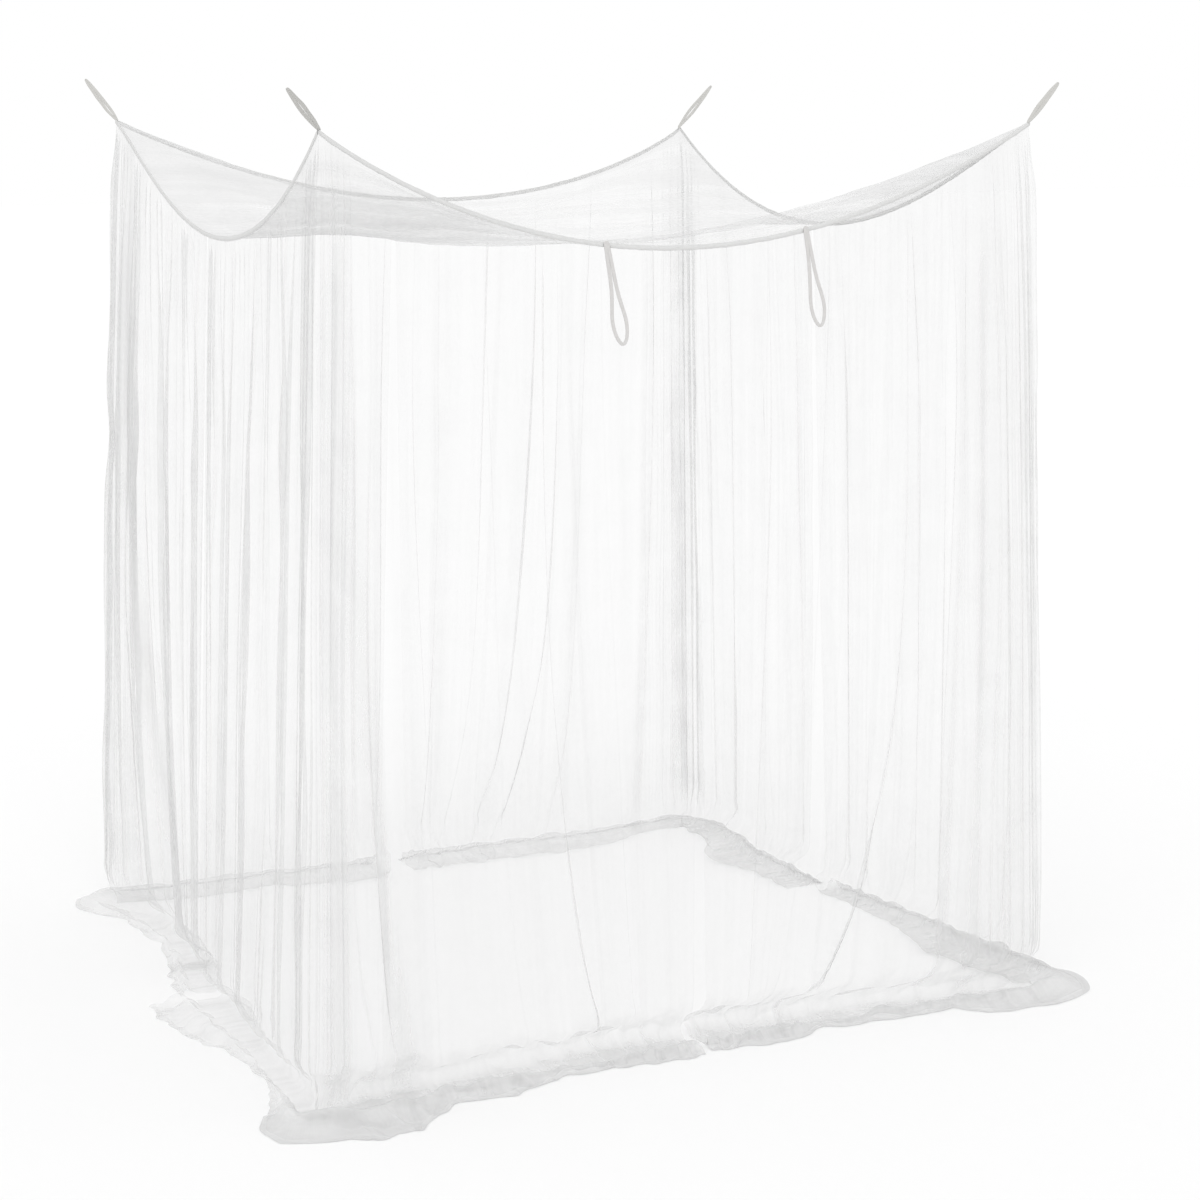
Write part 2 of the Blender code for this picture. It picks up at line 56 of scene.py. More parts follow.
# Cloth and trim: the solids' sheets and the gap between them at a seam, the tape, how much longer a sagging
# edge is than the line between its hooks, the panels as cut, and the tables' floor in the frame
CLOTH = 0.0015
SEAM_GAP = 0.0003
TAPE_HEIGHT = 0.012
TAPE_THICKNESS = 0.0016
CURTAIN_INSET = TAPE_THICKNESS / 2 + SEAM_GAP + CLOTH / 2
ROOF_INSET = CURTAIN_INSET + CLOTH / 2 + SEAM_GAP
FLAT_ROOF = (2.10, 1.90)
FLAT_CURTAIN = (2.00, 2.40)
TABLES_FLOOR = 0.0005

# The four hooks, and how far each curtain's foot stands out from below its hook
CORNERS = {
    "front_left": {"hook": (-0.977, -0.922, 2.264), "foot": (-0.070, -0.020)},
    "front_right": {"hook": (0.952, -0.885, 2.278), "foot": (0.080, -0.035)},
    "back_right": {"hook": (0.917, 0.907, 2.257), "foot": (0.045, 0.020)},
    "back_left": {"hook": (-0.893, 0.899, 2.281), "foot": (-0.090, 0.040)},
}

# Each side runs anticlockwise. low and door are where its edge sags lowest and where its two curtains meet,
# in shares of its length from its start. parting is how far apart the curtains are at the floor.
SIDES = {
    side: dict(zip(("start", "end", "sag", "low", "door", "parting"), row))
    for side, row in {
        "front": ("front_left", "front_right", 0.282, 0.480, 0.500, 0.032),
        "right": ("front_right", "back_right", 0.275, 0.543, 0.565, 0.060),
        "back": ("back_right", "back_left", 0.219, 0.463, 0.535, 0.080),
        "left": ("back_left", "front_left", 0.274, 0.557, 0.500, 0.050),
    }.items()
}

# Each curtain lies along the end of its first side and the start of its second, and all pairs are in that
# order. leans is how far its folds lean towards the doors.
CURTAINS = {
    "front_left": {"sides": ("left", "front"), "leans": (0.05, 0.13)},
    "front_right": {"sides": ("front", "right"), "leans": (0.15, 0.08)},
    "back_right": {"sides": ("right", "back"), "leans": (0.04, 0.13)},
    "back_left": {"sides": ("back", "left"), "leans": (0.08, 0.12)},
}
LEAN_POWER = 1.7

# Main folds: where along the curtain (minus on its first side), how wide, and how deep (plus outwards)
FOLDS = {
    "front_left": (
        (-0.8, 0.09, -0.018), (-0.64, 0.08, 0.02), (-0.46, 0.1, 0.024), (-0.29, 0.08, -0.02),
        (-0.15, 0.08, 0.022), (0.115, 0.07, 0.034), (0.24, 0.09, -0.02), (0.43, 0.11, 0.018),
        (0.6, 0.06, 0.024), (0.79, 0.11, -0.018),
    ),
    "front_right": (
        (-0.79, 0.1, 0.018), (-0.56, 0.07, 0.024), (-0.4, 0.08, -0.018), (-0.245, 0.08, 0.026),
        (-0.13, 0.06, -0.016), (0.15, 0.08, 0.026), (0.345, 0.09, -0.022), (0.52, 0.08, 0.024),
        (0.7, 0.09, -0.018), (0.88, 0.07, 0.02),
    ),
    "back_right": (
        (-0.69, 0.09, 0.02), (-0.53, 0.08, -0.018), (-0.265, 0.09, 0.022), (-0.13, 0.07, 0.024),
        (0.15, 0.07, -0.02), (0.31, 0.08, 0.022), (0.43, 0.06, -0.02), (0.6, 0.08, 0.026),
        (0.81, 0.09, 0.02),
    ),
    "back_left": (
        (-0.74, 0.09, 0.02), (-0.56, 0.1, -0.02), (-0.37, 0.09, 0.022), (-0.16, 0.08, -0.022),
        (0.14, 0.07, 0.024), (0.3, 0.09, 0.034), (0.42, 0.08, -0.024), (0.6, 0.08, 0.022),
        (0.76, 0.08, -0.02),
    ),
}
FOLDS_START = 0.016
FOLDS_FULL = 0.55

# Creases, where the net laps over itself: where, how wide a strip is caught, how much laps over, and how far
# the line curls along the wall by the time it reaches the floor
CREASES = {
    "front_left": (
        (-0.837, 0.03, 0.006, 0), (-0.675, 0.026, 0.004, 0.01), (-0.487, 0.03, 0.006, -0.01),
        (-0.381, 0.024, 0.004, 0), (-0.254, 0.028, 0.005, 0.02), (0.082, 0.014, 0.006, 0.05),
        (0.112, 0.014, 0.006, 0.05), (0.236, 0.012, 0.005, 0.01), (0.4, 0.012, 0.004, 0.02),
        (0.545, 0.018, 0.013, 0.065), (0.71, 0.012, 0.004, 0.02),
    ),
    "front_right": (
        (-0.771, 0.012, 0.005, 0), (-0.6, 0.014, 0.006, -0.1), (-0.365, 0.028, 0.017, -0.22),
        (-0.246, 0.018, 0.009, 0), (-0.196, 0.014, 0.006, 0), (-0.109, 0.016, 0.008, 0),
        (0.148, 0.016, 0.008, 0.02), (0.347, 0.014, 0.006, 0.04), (0.519, 0.016, 0.008, 0.05),
        (0.692, 0.014, 0.006, 0.06), (0.873, 0.014, 0.006, 0.04),
    ),
    "back_right": (
        (-0.674, 0.016, 0.008, -0.02), (-0.532, 0.014, 0.006, -0.05), (-0.265, 0.018, 0.009, 0),
        (-0.115, 0.014, 0.006, -0.01), (0.102, 0.016, 0.008, 0.03), (0.315, 0.016, 0.008, 0.1),
        (0.424, 0.014, 0.009, 0.15), (0.504, 0.018, 0.012, 0.16), (0.661, 0.016, 0.01, 0.16),
        (0.816, 0.014, 0.006, 0.08),
    ),
    "back_left": (
        (-0.82, 0.014, 0.007, 0.03), (-0.43, 0.014, 0.006, 0.02), (-0.21, 0.014, 0.006, 0),
        (0.089, 0.026, 0.006, 0), (0.237, 0.026, 0.008, 0), (0.336, 0.03, 0.008, 0.02),
        (0.422, 0.026, 0.007, 0.02), (0.558, 0.03, 0.009, 0.01), (0.71, 0.024, 0.006, 0),
        (0.826, 0.028, 0.008, 0),
    ),
}
CREASE_START = 0.012
CREASE_FULL = 0.12
CREASE_DEPTH = 0.45
CREASE_LAYERS = 250
CREASE_LINE = 0.35
CURL_POWER = 7

# A crease wanders and swells in two slow waves: how far, by how much, and how many radians each wave turns in
# a metre down and from one crease to the next
CREASE_WANDER = 0.006
CREASE_SWELL = 0.25
CREASE_WAVES = ((3.1, 2.3), (2.2, 1.7))

# Bunches, where several layers of net hang close together: where, how wide to each side, how many more layers
# there are, and how far they sweep along the wall by the time they reach the floor
BUNCHES = {
    "front_left": (
        (-0.86, 0.045, 0.9, 0), (-0.66, 0.035, 0.5, 0), (-0.48, 0.04, 0.9, 0), (-0.25, 0.045, 0.6, 0),
        (-0.07, 0.055, 0.7, 0), (0.034, 0.026, 5.2, 0.02), (0.062, 0.025, 4.2, 0.12),
        (0.18, 0.02, 0.8, 0.03), (0.62, 0.05, 0.6, 0), (0.86, 0.02, 0.8, 0),
    ),
    "front_right": (
        (-0.62, 0.05, 0.5, 0), (-0.33, 0.03, 0.8, 0), (-0.2, 0.022, 1.8, -0.03),
        (-0.14, 0.03, 2.8, -0.01), (-0.06, 0.045, 2.6, 0), (0.055, 0.035, 0.9, 0),
        (0.15, 0.02, 1.2, 0.02), (0.52, 0.022, 0.8, 0), (0.87, 0.024, 0.8, 0),
    ),
    "back_right": (
        (-0.67, 0.024, 0.8, 0), (-0.265, 0.03, 1, 0), (-0.07, 0.036, 1.8, 0), (0.01, 0.042, 3.8, 0),
        (0.1, 0.03, 1.4, 0.03), (0.315, 0.024, 0.8, 0.05), (0.505, 0.03, 0.8, 0.08), (0.8, 0.03, 1, 0),
    ),
    "back_left": (
        (-0.8, 0.03, 1.2, 0), (-0.43, 0.024, 0.6, 0), (-0.06, 0.035, 1.6, 0), (0.03, 0.05, 1.4, 0),
        (0.15, 0.06, 1.4, 0), (0.16, 0.05, 5.5, 0.42), (0.56, 0.035, 1, 0), (0.8, 0.04, 1, 0),
    ),
}
SWEEP_POWER = 2

# The share of a bunch at the tape and how far down it is full, then the shares of bunches and creases left at
# the floor and the share of the height in which they fade
BUNCH_TOP = 0.25
BUNCH_FULL = 0.45
BUNCH_FOOT = 0.28
CREASE_FOOT = 0.5
FOOT_FADE = 0.08

# The dense upright folds at each corner
GATHER_DEPTH = 0.014
GATHER_STEP = 0.014
GATHER_REACH = 0.063
GATHER_FULL = 0.16
GATHER_FINE_PITCH = 0.0105
GATHER_FINE_DEPTH = 0.003
GATHER_FINE_REACH = 0.1

# Soft pleats all along the walls: on each wing, how deep they are, the length after which they repeat, how
# many layers of net hang there, and how many times the layers of POOL_ROWS its heap on the floor has
WINGS = {
    ("front_left", "left"): (0.0052, 0.046, 1.80, 0.20),
    ("front_left", "front"): (0.0008, 0.036, 1.0, 1.40),
    ("front_right", "front"): (0.0009, 0.038, 1.0, 1.40),
    ("front_right", "right"): (0.0016, 0.044, 1.1, 0.75),
    ("back_right", "right"): (0.0018, 0.042, 1.1, 0.70),
    ("back_right", "back"): (0.0009, 0.036, 1.0, 0.35),
    ("back_left", "back"): (0.0012, 0.038, 1.0, 0.28),
    ("back_left", "left"): (0.0070, 0.050, 2.0, 0.12),
}
PLEAT_START = 0.007
PLEAT_FULL = 0.05

# Two patterns make the pleats uneven. Each has its number of waves, the shortest and the longest, and how
# little it changes downwards. The rest is how much they shift and deepen the pleats and thicken the cloth.
WANDER_WAVES = (10, 0.25, 0.90)
WANDER_FALL = 0.1
UNEVEN_WAVES = (8, 0.06, 0.30)
UNEVEN_FALL = 0.08
PLEAT_WANDER = 0.5
PLEAT_UNEVEN = 0.9
FINE_UNEVEN = 0.8
PLEAT_STEADY = 0.55
PLEAT_SWELL = 0.45
LAYERS_UNEVEN = 0.3
LAYERS_FALL = 0.1

# The curtains turn their corners sharply at the tape and more softly towards the floor
FOOT_ROUNDING = 0.08
ROUNDING_REACH = 0.3
NORMAL_BLEND_TOP = 0.002
NORMAL_BLEND_FLOOR = 0.055

# The gap between two curtains at the tape, and the height from which the cloth slumps onto the floor
DOOR_GAP_TOP = 0.008
FOOT_HEIGHT = 0.125

# The cloth on the floor slumps inwards, turns under and comes out past the curtain's foot. across is a share
# of tuck where minus and of reach where plus, height is a share of lump, and layers are those more than one.
POOL_ROWS = (
    (-0.35, 1.9, 0.3), (-0.85, 1.25, 0.5), (-1, 0.6, 0.7), (-0.7, 0, 1),
    (0.1, 0, 2), (0.42, 0.85, 3.4), (0.74, 0.15, 4), (1, 0, 4.4),
)
STEEPEST_RIDGE = 0.5

# A heap with a lump higher than this holds up to twice as many layers
HIGH_HEAP = 0.036
HEAP_BLEND = 0.012

# How the hem lies, at places along each curtain's foot: how far the foot stands out, and the reach outwards,
# tuck inwards and lump upwards of the cloth there
HEMS = {
    "front_left": (
        (-0.91, 0, 0.14, 0.06, 0.028), (-0.74, 0, 0.13, 0.08, 0.032), (-0.6, 0, 0.1, 0.07, 0.034),
        (-0.5, 0, 0.04, 0.05, 0.03), (-0.24, 0, 0.02, 0.05, 0.034), (-0.1, 0, 0.06, 0.05, 0.044),
        (-0.05, 0, 0.09, 0.04, 0.046), (0, 0, 0.17, 0.03, 0.048), (0.05, 0, 0.15, 0.04, 0.047),
        (0.1, 0, 0.19, 0.06, 0.046), (0.15, 0, 0.165, 0.07, 0.044), (0.2, 0, 0.18, 0.07, 0.042),
        (0.27, 0, 0.11, 0.08, 0.038), (0.34, 0, 0.07, 0.08, 0.036), (0.46, 0, 0.09, 0.09, 0.04),
        (0.62, 0, 0.03, 0.1, 0.036), (0.8, 0, 0.05, 0.11, 0.042), (0.91, 0, 0.07, 0.09, 0.042),
        (1, 0, 0.03, 0.05, 0.034),
    ),
    "front_right": (
        (-1, 0, 0.03, 0.08, 0.034), (-0.93, 0, 0.05, 0.12, 0.04), (-0.78, 0, 0.07, 0.08, 0.042),
        (-0.65, 0, 0.03, 0.09, 0.038), (-0.47, 0, 0.05, 0.08, 0.036), (-0.3, 0, 0.05, 0.06, 0.034),
        (-0.25, 0, 0.12, 0.05, 0.034), (0, 0, 0.14, 0.03, 0.036), (0.16, 0, 0.12, 0.1, 0.04),
        (0.38, 0, 0.08, 0.12, 0.044), (0.6, 0, 0.09, 0.04, 0.034), (0.87, 0, 0.07, 0.03, 0.028),
        (1.03, 0, 0.05, 0.05, 0.032),
    ),
    "back_right": (
        (-0.8, -0.02, 0.04, 0.09, 0.046), (-0.57, -0.03, 0.06, 0.09, 0.036),
        (-0.41, -0.05, 0.08, 0.12, 0.04), (-0.22, 0, 0.08, 0.06, 0.03), (0, 0, 0.1, 0.03, 0.026),
        (0.18, 0, 0.07, 0.04, 0.026), (0.29, -0.03, 0.08, 0.08, 0.03), (0.47, -0.04, 0.1, 0.09, 0.034),
        (0.75, -0.03, 0.1, 0.08, 0.03), (0.99, -0.02, 0.06, 0.09, 0.042),
    ),
    "back_left": (
        (-0.87, 0.01, 0.05, 0.07, 0.05), (-0.74, -0.05, 0.1, 0.1, 0.036), (-0.6, -0.04, 0.1, 0.09, 0.032),
        (-0.48, 0, 0.07, 0.08, 0.028), (-0.2, -0.02, 0.09, 0.08, 0.03), (0, 0, 0.11, 0.03, 0.028),
        (0.1, -0.01, 0.06, 0.04, 0.028), (0.2, -0.05, 0.04, 0.06, 0.03), (0.45, -0.07, 0.03, 0.06, 0.032),
        (0.62, -0.05, 0.04, 0.07, 0.034), (0.83, -0.01, 0.05, 0.08, 0.04), (0.93, 0, 0.03, 0.05, 0.03),
    ),
}
STANCE_POWER = 3

# Crumples of the cloth on the floor: their waves, and how far they push it outwards, upwards and along
CRUMPLE_WAVES = (12, 0.050, 0.170)
CRUMPLE_PUSH = (0.009, 0.007, 0.005)
CRUMPLE_TOP = 0.22
LOWEST_CLOTH = 0.0008

# How finely the sheets are divided: closer at the curtains' corners, creases and tops, and at the roof's rim
CURTAIN_STEPS = 600
STATION_STEP = 0.0004
WALL_STATION = 0.0048
FINE_STATION = 0.0024
FINE_REACH = 0.085
WALL_ROWS = 88
TOP_ROWS = 13
TOP_SHARE = 0.06
FOOT_ROWS = 5
POOL_STEPS = 8
ROOF_STEPS = 170
ROOF_EVENNESS = 0.5
TAPE_STEPS = 420

# Roof panel: soft ridges that fan out from each hook, finer puckers between them, and an uneven middle
ROOF_POWER = 4
ROOF_RIDGES = 5
ROOF_RIDGE_DEPTH = 0.007
ROOF_RIDGE_REACH = 0.75
PUCKERS = 13
PUCKER_DEPTH = 0.0014
PUCKER_REACH = 0.35
PUCKER_BENDS = 19
PUCKER_BEND = 0.6
ROOF_SEED = 71
ROOF_WAVES = (12, 0.08, 0.30)
ROOF_UNEVEN = 0.0018
ROOF_RIM = 0.08

# How full the roof's cloth is from left to right (share of the way, layers), but sheerer at its front left
ROOF_LAYERS = ((0.00, 5.2), (0.20, 5.6), (0.34, 2.9), (0.75, 2.0), (1.00, 3.6))
ROOF_CORNER_SHEER = 0.8
ROOF_CORNER_REACH = 0.22

# Edge tape: its outline in shares of its half thickness and half height, and its small puckers
TAPE_OUTLINE = ((0, 1), (1, 0.92), (1, 0), (1, -0.92), (0, -1), (-1, -0.92), (-1, 0), (-1, 0.92), (0, 1))
TAPE_OUTLINE_STEP = 0.92
TAPE_FLATNESS = 0.85
TAPE_SEED = 7
TAPE_WAVES = (9, 0.014, 0.060)
TAPE_PUCKER = 0.0007
TAPE_PUCKER_TURN = 0.006

# Loops of soft tape. pinch is the share of the tape's width left at the ends, foot is how far it goes on
# behind the binding, and curve is how soon the eye opens from its foot and closes at its tip.
CORNER_LOOP = dict(
    length=0.172, eye=0.0098, width=0.0090, thickness=0.0026,
    widest=0.42, pinch=0.42, foot=0.008, curve=(1.3, 1.1),
)
TIE_BACK = dict(
    length=0.245, eye=0.0400, width=0.0095, thickness=0.0026,
    widest=0.80, pinch=0.85, foot=0.004, curve=(1.3, 0.50),
)

# Where each corner loop pulls (its heading and its lift) and how far it has turned about itself, in degrees
CORNER_LOOPS = {
    "front_left": (-137, 30, 40),
    "front_right": (24, 34, 42),
    "back_right": (6, 46, 58),
    "back_left": (112, 40, -46),
}

# Where the tie-backs hang along the front edge, and how far they swing to the right and stand off
TIE_BACKS = {"left": 0.715, "right": 1.263}
TIE_BACK_SWING = 0.038
TIE_BACK_STANDOFF = 0.017

# How finely the loops are divided, how blunt their ends and edges are, and how uneven they are
LOOP_STEPS = 96
LOOP_SECTION = 16
LOOP_TIP_RADIUS = 0.62
LOOP_TIP_BLUNTNESS = 0.35
LOOP_FLARE = 0.6
LOOP_FACE = 0.6
LOOP_EDGE = 0.35
LOOP_WAVES = (5, 0.3, 1.2)
LOOP_WAVE_TURN = 6
LOOP_UNEVEN = 0.0012

CURTAIN_SEED = 100
CRUMPLE_SEED = 10
LOOP_SEED = 40
TIE_SEED = 60

# Net: one layer seen straight on hides NET_COVER of what is behind it, a doubled hem HEM_COVER times that,
# and many layers MOST_COVER at most. At a slant they hide more, as far as the steepest slant that counts.
NET_COLOUR = (0.70, 0.70, 0.70)
NET_ROUGHNESS = 0.85
NET_RELIEF = (0.0002, 0.3)
NET_COVER = 0.068
MOST_COVER = 0.65
HEM_COVER = 1.5
HEM_WIDTH = 0.016
ROOF_STEEPEST = 0.42
WALL_STEEPEST = 0.55

# Its threads: how far apart, how wide, how sharp and soft, their mean, and how much they show
MESH_PITCH = 0.0016
THREAD_SHARE = 0.32
THREAD_SHARPNESS = 8.0
THREAD_SOFTNESS = 0.2
THREAD_MEAN = 0.54
THREAD_CONTRAST = 0.28

# Streaks (how fine, how strong) and patches where more of it lies over itself
ROOF_STREAKS = (12.0, 0.75)
WALL_STREAKS = (30.0, 0.42)
STREAK_RUN = 0.9
STREAK_DETAIL = 3.0
PATCHES = 0.3
PATCH_SCALE = 9.0
PATCH_DETAIL = 4.0
FULLNESS_GAIN = 4.0
LEAST_FULLNESS = 0.25

# Tape. TAPE_SHADE is how much the tape is painted lighter on the ribs and darker in the hollows of its weave,
# as painted light and shade, and how much its random grain shows
TAPE_COLOUR = (0.70, 0.70, 0.695)
# The corner loops are the same tape as the tie-backs, painted darker as painted shade; the warm tint is the
# tape's own
LOOP_COLOUR_WITH_PAINTED_SHADE = (0.55, 0.545, 0.525)
TIE_COLOUR = (0.64, 0.63, 0.62)
TAPE_ROUGHNESS = 0.8
TAPE_RELIEF = (0.0003, 0.6)
TAPE_PITCH = 0.0011
TAPE_SHADE = 0.16
GRAIN_SCALE = 160.0
GRAIN_DETAIL = 2.0
CLOTH_SHINE = 0.2

# Floor, the soft light from above the front left, and how many sheets of net can be seen through
FLOOR_COLOUR = (0.87, 0.87, 0.87)
FLOOR_ROUGHNESS = 0.9
FLOOR_SIZE = 120
SUN_STRENGTH = 0.64
SUN_ANGLE = 50
SUN_TILT = (32, -24)
SHEETS_SEEN_THROUGH = 96


# Shapes

def ramp(x):
    """A soft step from 0 to 1."""
    x = np.clip(x, 0, 1)
    return x * x * (3 - 2 * x)


def unit(vectors):
    return vectors / np.linalg.norm(vectors, axis=-1, keepdims=True)


def hook(corner):
    return np.array(CORNERS[corner]["hook"])


def side_line(side):
    """The side's start in plan, its length, its direction and its outward normal."""
    start, end = (hook(SIDES[side][which])[:2] for which in ("start", "end"))
    length = np.linalg.norm(end - start)
    direction = (end - start) / length
    return start, length, direction, np.array([direction[1], -direction[0]])


def sag(side, fraction):
    """How far the side's edge hangs below the line between its hooks."""
    skew = math.log(0.5) / math.log(SIDES[side]["low"])
    along = np.clip(fraction, 0, 1) ** skew
    return SIDES[side]["sag"] * 4 * along * (1 - along)


def edge_height(side, fraction):
    start, end = (hook(SIDES[side][which])[2] for which in ("start", "end"))
    return start + (end - start) * fraction - sag(side, fraction)


def edge_points(side, fractions):
    start, length, direction, _ = side_line(side)
    plan = start + direction * length * fractions[:, None]
    return np.column_stack([plan, edge_height(side, fractions)])


def inside_corner(corner, distance):
    """The point level with a corner's hook that lies this far inside both its sides."""
    first, second = (side_line(side)[3] for side in CURTAINS[corner]["sides"])
    step = (first + second) * distance / (1 + first @ second)
    return hook(corner) - np.array([*step, 0])


def net_shift():
    """From the tables' own origin to the frame's, measured at the front edge tape."""
    low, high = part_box("edge_tape_front")
    hooks = (hook("front_left") + hook("front_right")) / 2
    return np.array([(low[0] + high[0]) / 2 - hooks[0], (low[1] + high[1]) / 2 - hooks[1], TABLES_FLOOR])


def waves(seed, count, shortest, longest):
    """A soft uneven pattern over two lengths, from -1 to 1: a sum of waves in many directions."""
    draw = np.random.default_rng(seed)
    lengths = np.exp(draw.uniform(math.log(shortest), math.log(longest), count))
    turns = draw.uniform(0, 2 * math.pi, count)
    phases = draw.uniform(0, 2 * math.pi, count)

    def pattern(u, v):
        total = 0
        for length, turn, phase in zip(lengths, turns, phases):
            way = (u * math.cos(turn) + v * math.sin(turn)) / length
            total = total + np.sin(2 * math.pi * way + phase)
        return total / math.sqrt(2 * count)

    return pattern


def blended(along, pair):
    """The first wing's value, which turns into the second wing's at the corner."""
    return np.interp(along, (-GATHER_REACH, GATHER_REACH), pair)


class Curtain:
    """A length of net that wraps one corner. along is measured from the corner, minus on the first side."""

    def __init__(self, corner, seed):
        self.name = corner
        self.seed = seed
        self.leans = CURTAINS[corner]["leans"]
        self.sides = CURTAINS[corner]["sides"]
        first, second = (SIDES[side] for side in self.sides)
        self.partings = (first["parting"], second["parting"])
        self.far_corners = (first["start"], second["end"])
        _, self.side_lengths, directions, self.outwards = zip(*map(side_line, self.sides))
        self.towards = (-directions[0], directions[1])
        doors = (1 - first["door"], second["door"])
        self.lengths = [door * length - DOOR_GAP_TOP / 2 for door, length in zip(doors, self.side_lengths)]
        wings = zip(*(WINGS[corner, side] for side in self.sides))
        self.pleat_depths, self.pleat_pitches, self.wing_layers, self.heaps = wings
        self.wander = waves(seed, *WANDER_WAVES)
        self.unevenness = waves(seed + 1, *UNEVEN_WAVES)

    def stations(self):
        """Places along the curtain, closer together at the corner and round each crease."""
        fine = np.arange(-self.lengths[0], self.lengths[1], STATION_STEP)
        density = 1 / WALL_STATION + np.exp(-((fine / FINE_REACH) ** 4)) / FINE_STATION
        for middle, width, _, curl in CREASES[self.name]:
            spread = width + abs(curl) / 2
            density += np.exp(-(((fine - middle - curl / 2) / spread) ** 4)) / FINE_STATION
        share = np.cumsum(density)
        share = (share - share[0]) / (share[-1] - share[0])
        places = np.interp(np.linspace(0, 1, CURTAIN_STEPS), share, fine)
        places[-1] = self.lengths[1]
        return places

    def edge(self, along):
        """How high the curtain's top edge hangs."""
        first = edge_height(self.sides[0], 1 + along / self.side_lengths[0])
        second = edge_height(self.sides[1], along / self.side_lengths[1])
        return np.where(along < 0, first, second)

    def drift(self, along, level):
        """Where a thread that starts at this place lies at this level, 0 at the tape and 1 at the floor."""
        share = np.minimum(1, np.abs(along) / np.where(along < 0, *self.lengths))
        parted = (np.where(along < 0, *self.partings) - DOOR_GAP_TOP) / 2 * share**3 * level
        swing = np.where(along < 0, *self.leans) * np.sin(math.pi * share) * level**LEAN_POWER
        return along + np.sign(along) * (swing - parted)

    def outward(self, place, level):
        """The wall's outward normal, which turns at the corner."""
        blend = NORMAL_BLEND_TOP + (NORMAL_BLEND_FLOOR - NORMAL_BLEND_TOP) * level
        share = ramp(0.5 + place / (2 * blend))[..., None]
        return unit(self.outwards[0] * (1 - share) + self.outwards[1] * share)

    def foot_shift(self, along):
        """How far the foot stands out from below the top edge."""
        near = np.array(CORNERS[self.name]["foot"])
        shift = near
        for way, length, corner in zip((-1, 1), self.side_lengths, self.far_corners):
            share = np.interp(way * along, (0, length), (0, 1))[..., None]
            shift = shift + (np.array(CORNERS[corner]["foot"]) - near) * share
        return shift

    def base(self, along, level, aside=0):
        """The curtain in plan, before its folds. aside moves a thread along the wall."""
        rounding = FOOT_ROUNDING * level
        place = self.drift(along, level) + aside
        spread = np.hypot(place, rounding)
        fading = rounding / 2 * np.exp(-np.abs(place) / ROUNDING_REACH)
        plan = hook(self.name)[:2] + self.foot_shift(along) * level[..., None]
        for way, towards in zip((-1, 1), self.towards):
            plan = plan + towards * ((spread + way * place) / 2 - fading)[..., None]
        outward = self.outward(along, level)
        squareness = np.maximum(*(outward @ normal for normal in self.outwards))[..., None]
        return plan - outward * CURTAIN_INSET / squareness

    def folds(self, along, below):
        """How far the main folds and the corner's gathers stand out, this far below the top edge."""
        out = 0
        for middle, width, depth in FOLDS[self.name]:
            share = np.clip((along - middle) / width, -0.5, 0.5)
            out = out + depth * np.cos(math.pi * share) ** 2
        out = out * ramp((below - FOLDS_START) / FOLDS_FULL)
        ridges = GATHER_DEPTH * np.cos(math.pi * along / GATHER_STEP / 2) ** 2
        return out + ridges * self.gathered(along) * ramp((below - FOLDS_START) / GATHER_FULL)

    def gathered(self, along):
        """1 among the dense folds at the corner, 0 away from them."""
        return ramp((GATHER_REACH + GATHER_STEP / 2 - np.abs(along)) / GATHER_STEP)

    def pleats(self, along, below):
        """Fine uneven pleats, deepest where the wing is full."""
        wander = PLEAT_WANDER * self.wander(along, below * WANDER_FALL)
        uneven = self.unevenness(along, below * UNEVEN_FALL)
        depth = blended(along, self.pleat_depths)
        turn = along / np.where(along < 0, *self.pleat_pitches) + PLEAT_UNEVEN * uneven + wander
        pleat = np.sin(2 * math.pi * turn) * (PLEAT_STEADY + PLEAT_SWELL * uneven)
        fine_turn = along / GATHER_FINE_PITCH + FINE_UNEVEN * uneven + wander
        fine = np.sin(2 * math.pi * fine_turn) * np.exp(-((along / GATHER_FINE_REACH) ** 2))
        return (depth * pleat + GATHER_FINE_DEPTH * fine) * ramp((below - PLEAT_START) / PLEAT_FULL)

    def creases(self, along, below, level):
        """Where the net laps over itself: the steps along the wall and outwards, and the layers there."""
        aside, out, layers = 0, 0, 0
        full = ramp((below - CREASE_START) / CREASE_FULL)
        for number, (middle, width, lap, curl) in enumerate(CREASES[self.name]):
            wander, swell = (np.sin(below * down + number * apart) for down, apart in CREASE_WAVES)
            middle = middle + CREASE_WANDER * wander + curl * level**CURL_POWER
            offset = (along - middle) / width
            share = np.clip(offset, -1, 1)
            lap = lap * full * (1 - CREASE_SWELL + CREASE_SWELL * swell)
            aside = aside - lap * np.sin(math.pi * share)
            out = out + lap * CREASE_DEPTH * np.cos(math.pi * share / 2) ** 2
            layers = layers + lap * CREASE_LAYERS * np.exp(-((offset / CREASE_LINE) ** 2))
        return aside, out, layers

    def layers(self, along, down):
        """How many layers of net hang together here."""
        edge = self.edge(along)
        level = np.clip(down / edge, 0, 1)
        more = 0
        for middle, width, layers, sweep in BUNCHES[self.name]:
            middle = middle + sweep * level**SWEEP_POWER
            more = more + layers * np.exp(-(((along - middle) / width) ** 2))
        more = more * (BUNCH_TOP + (1 - BUNCH_TOP) * ramp(down / BUNCH_FULL))
        near_floor = ramp((level - 1 + FOOT_FADE) / FOOT_FADE)
        more = more * (1 - (1 - BUNCH_FOOT) * near_floor)
        wing = blended(along, self.wing_layers)
        uneven = 1 + LAYERS_UNEVEN * self.unevenness(along, down * LAYERS_FALL)
        creases = self.creases(along, down, level)[2] * (1 - (1 - CREASE_FOOT) * near_floor)
        return 1 + (wing - 1) * (1 - near_floor) + more * uneven + creases

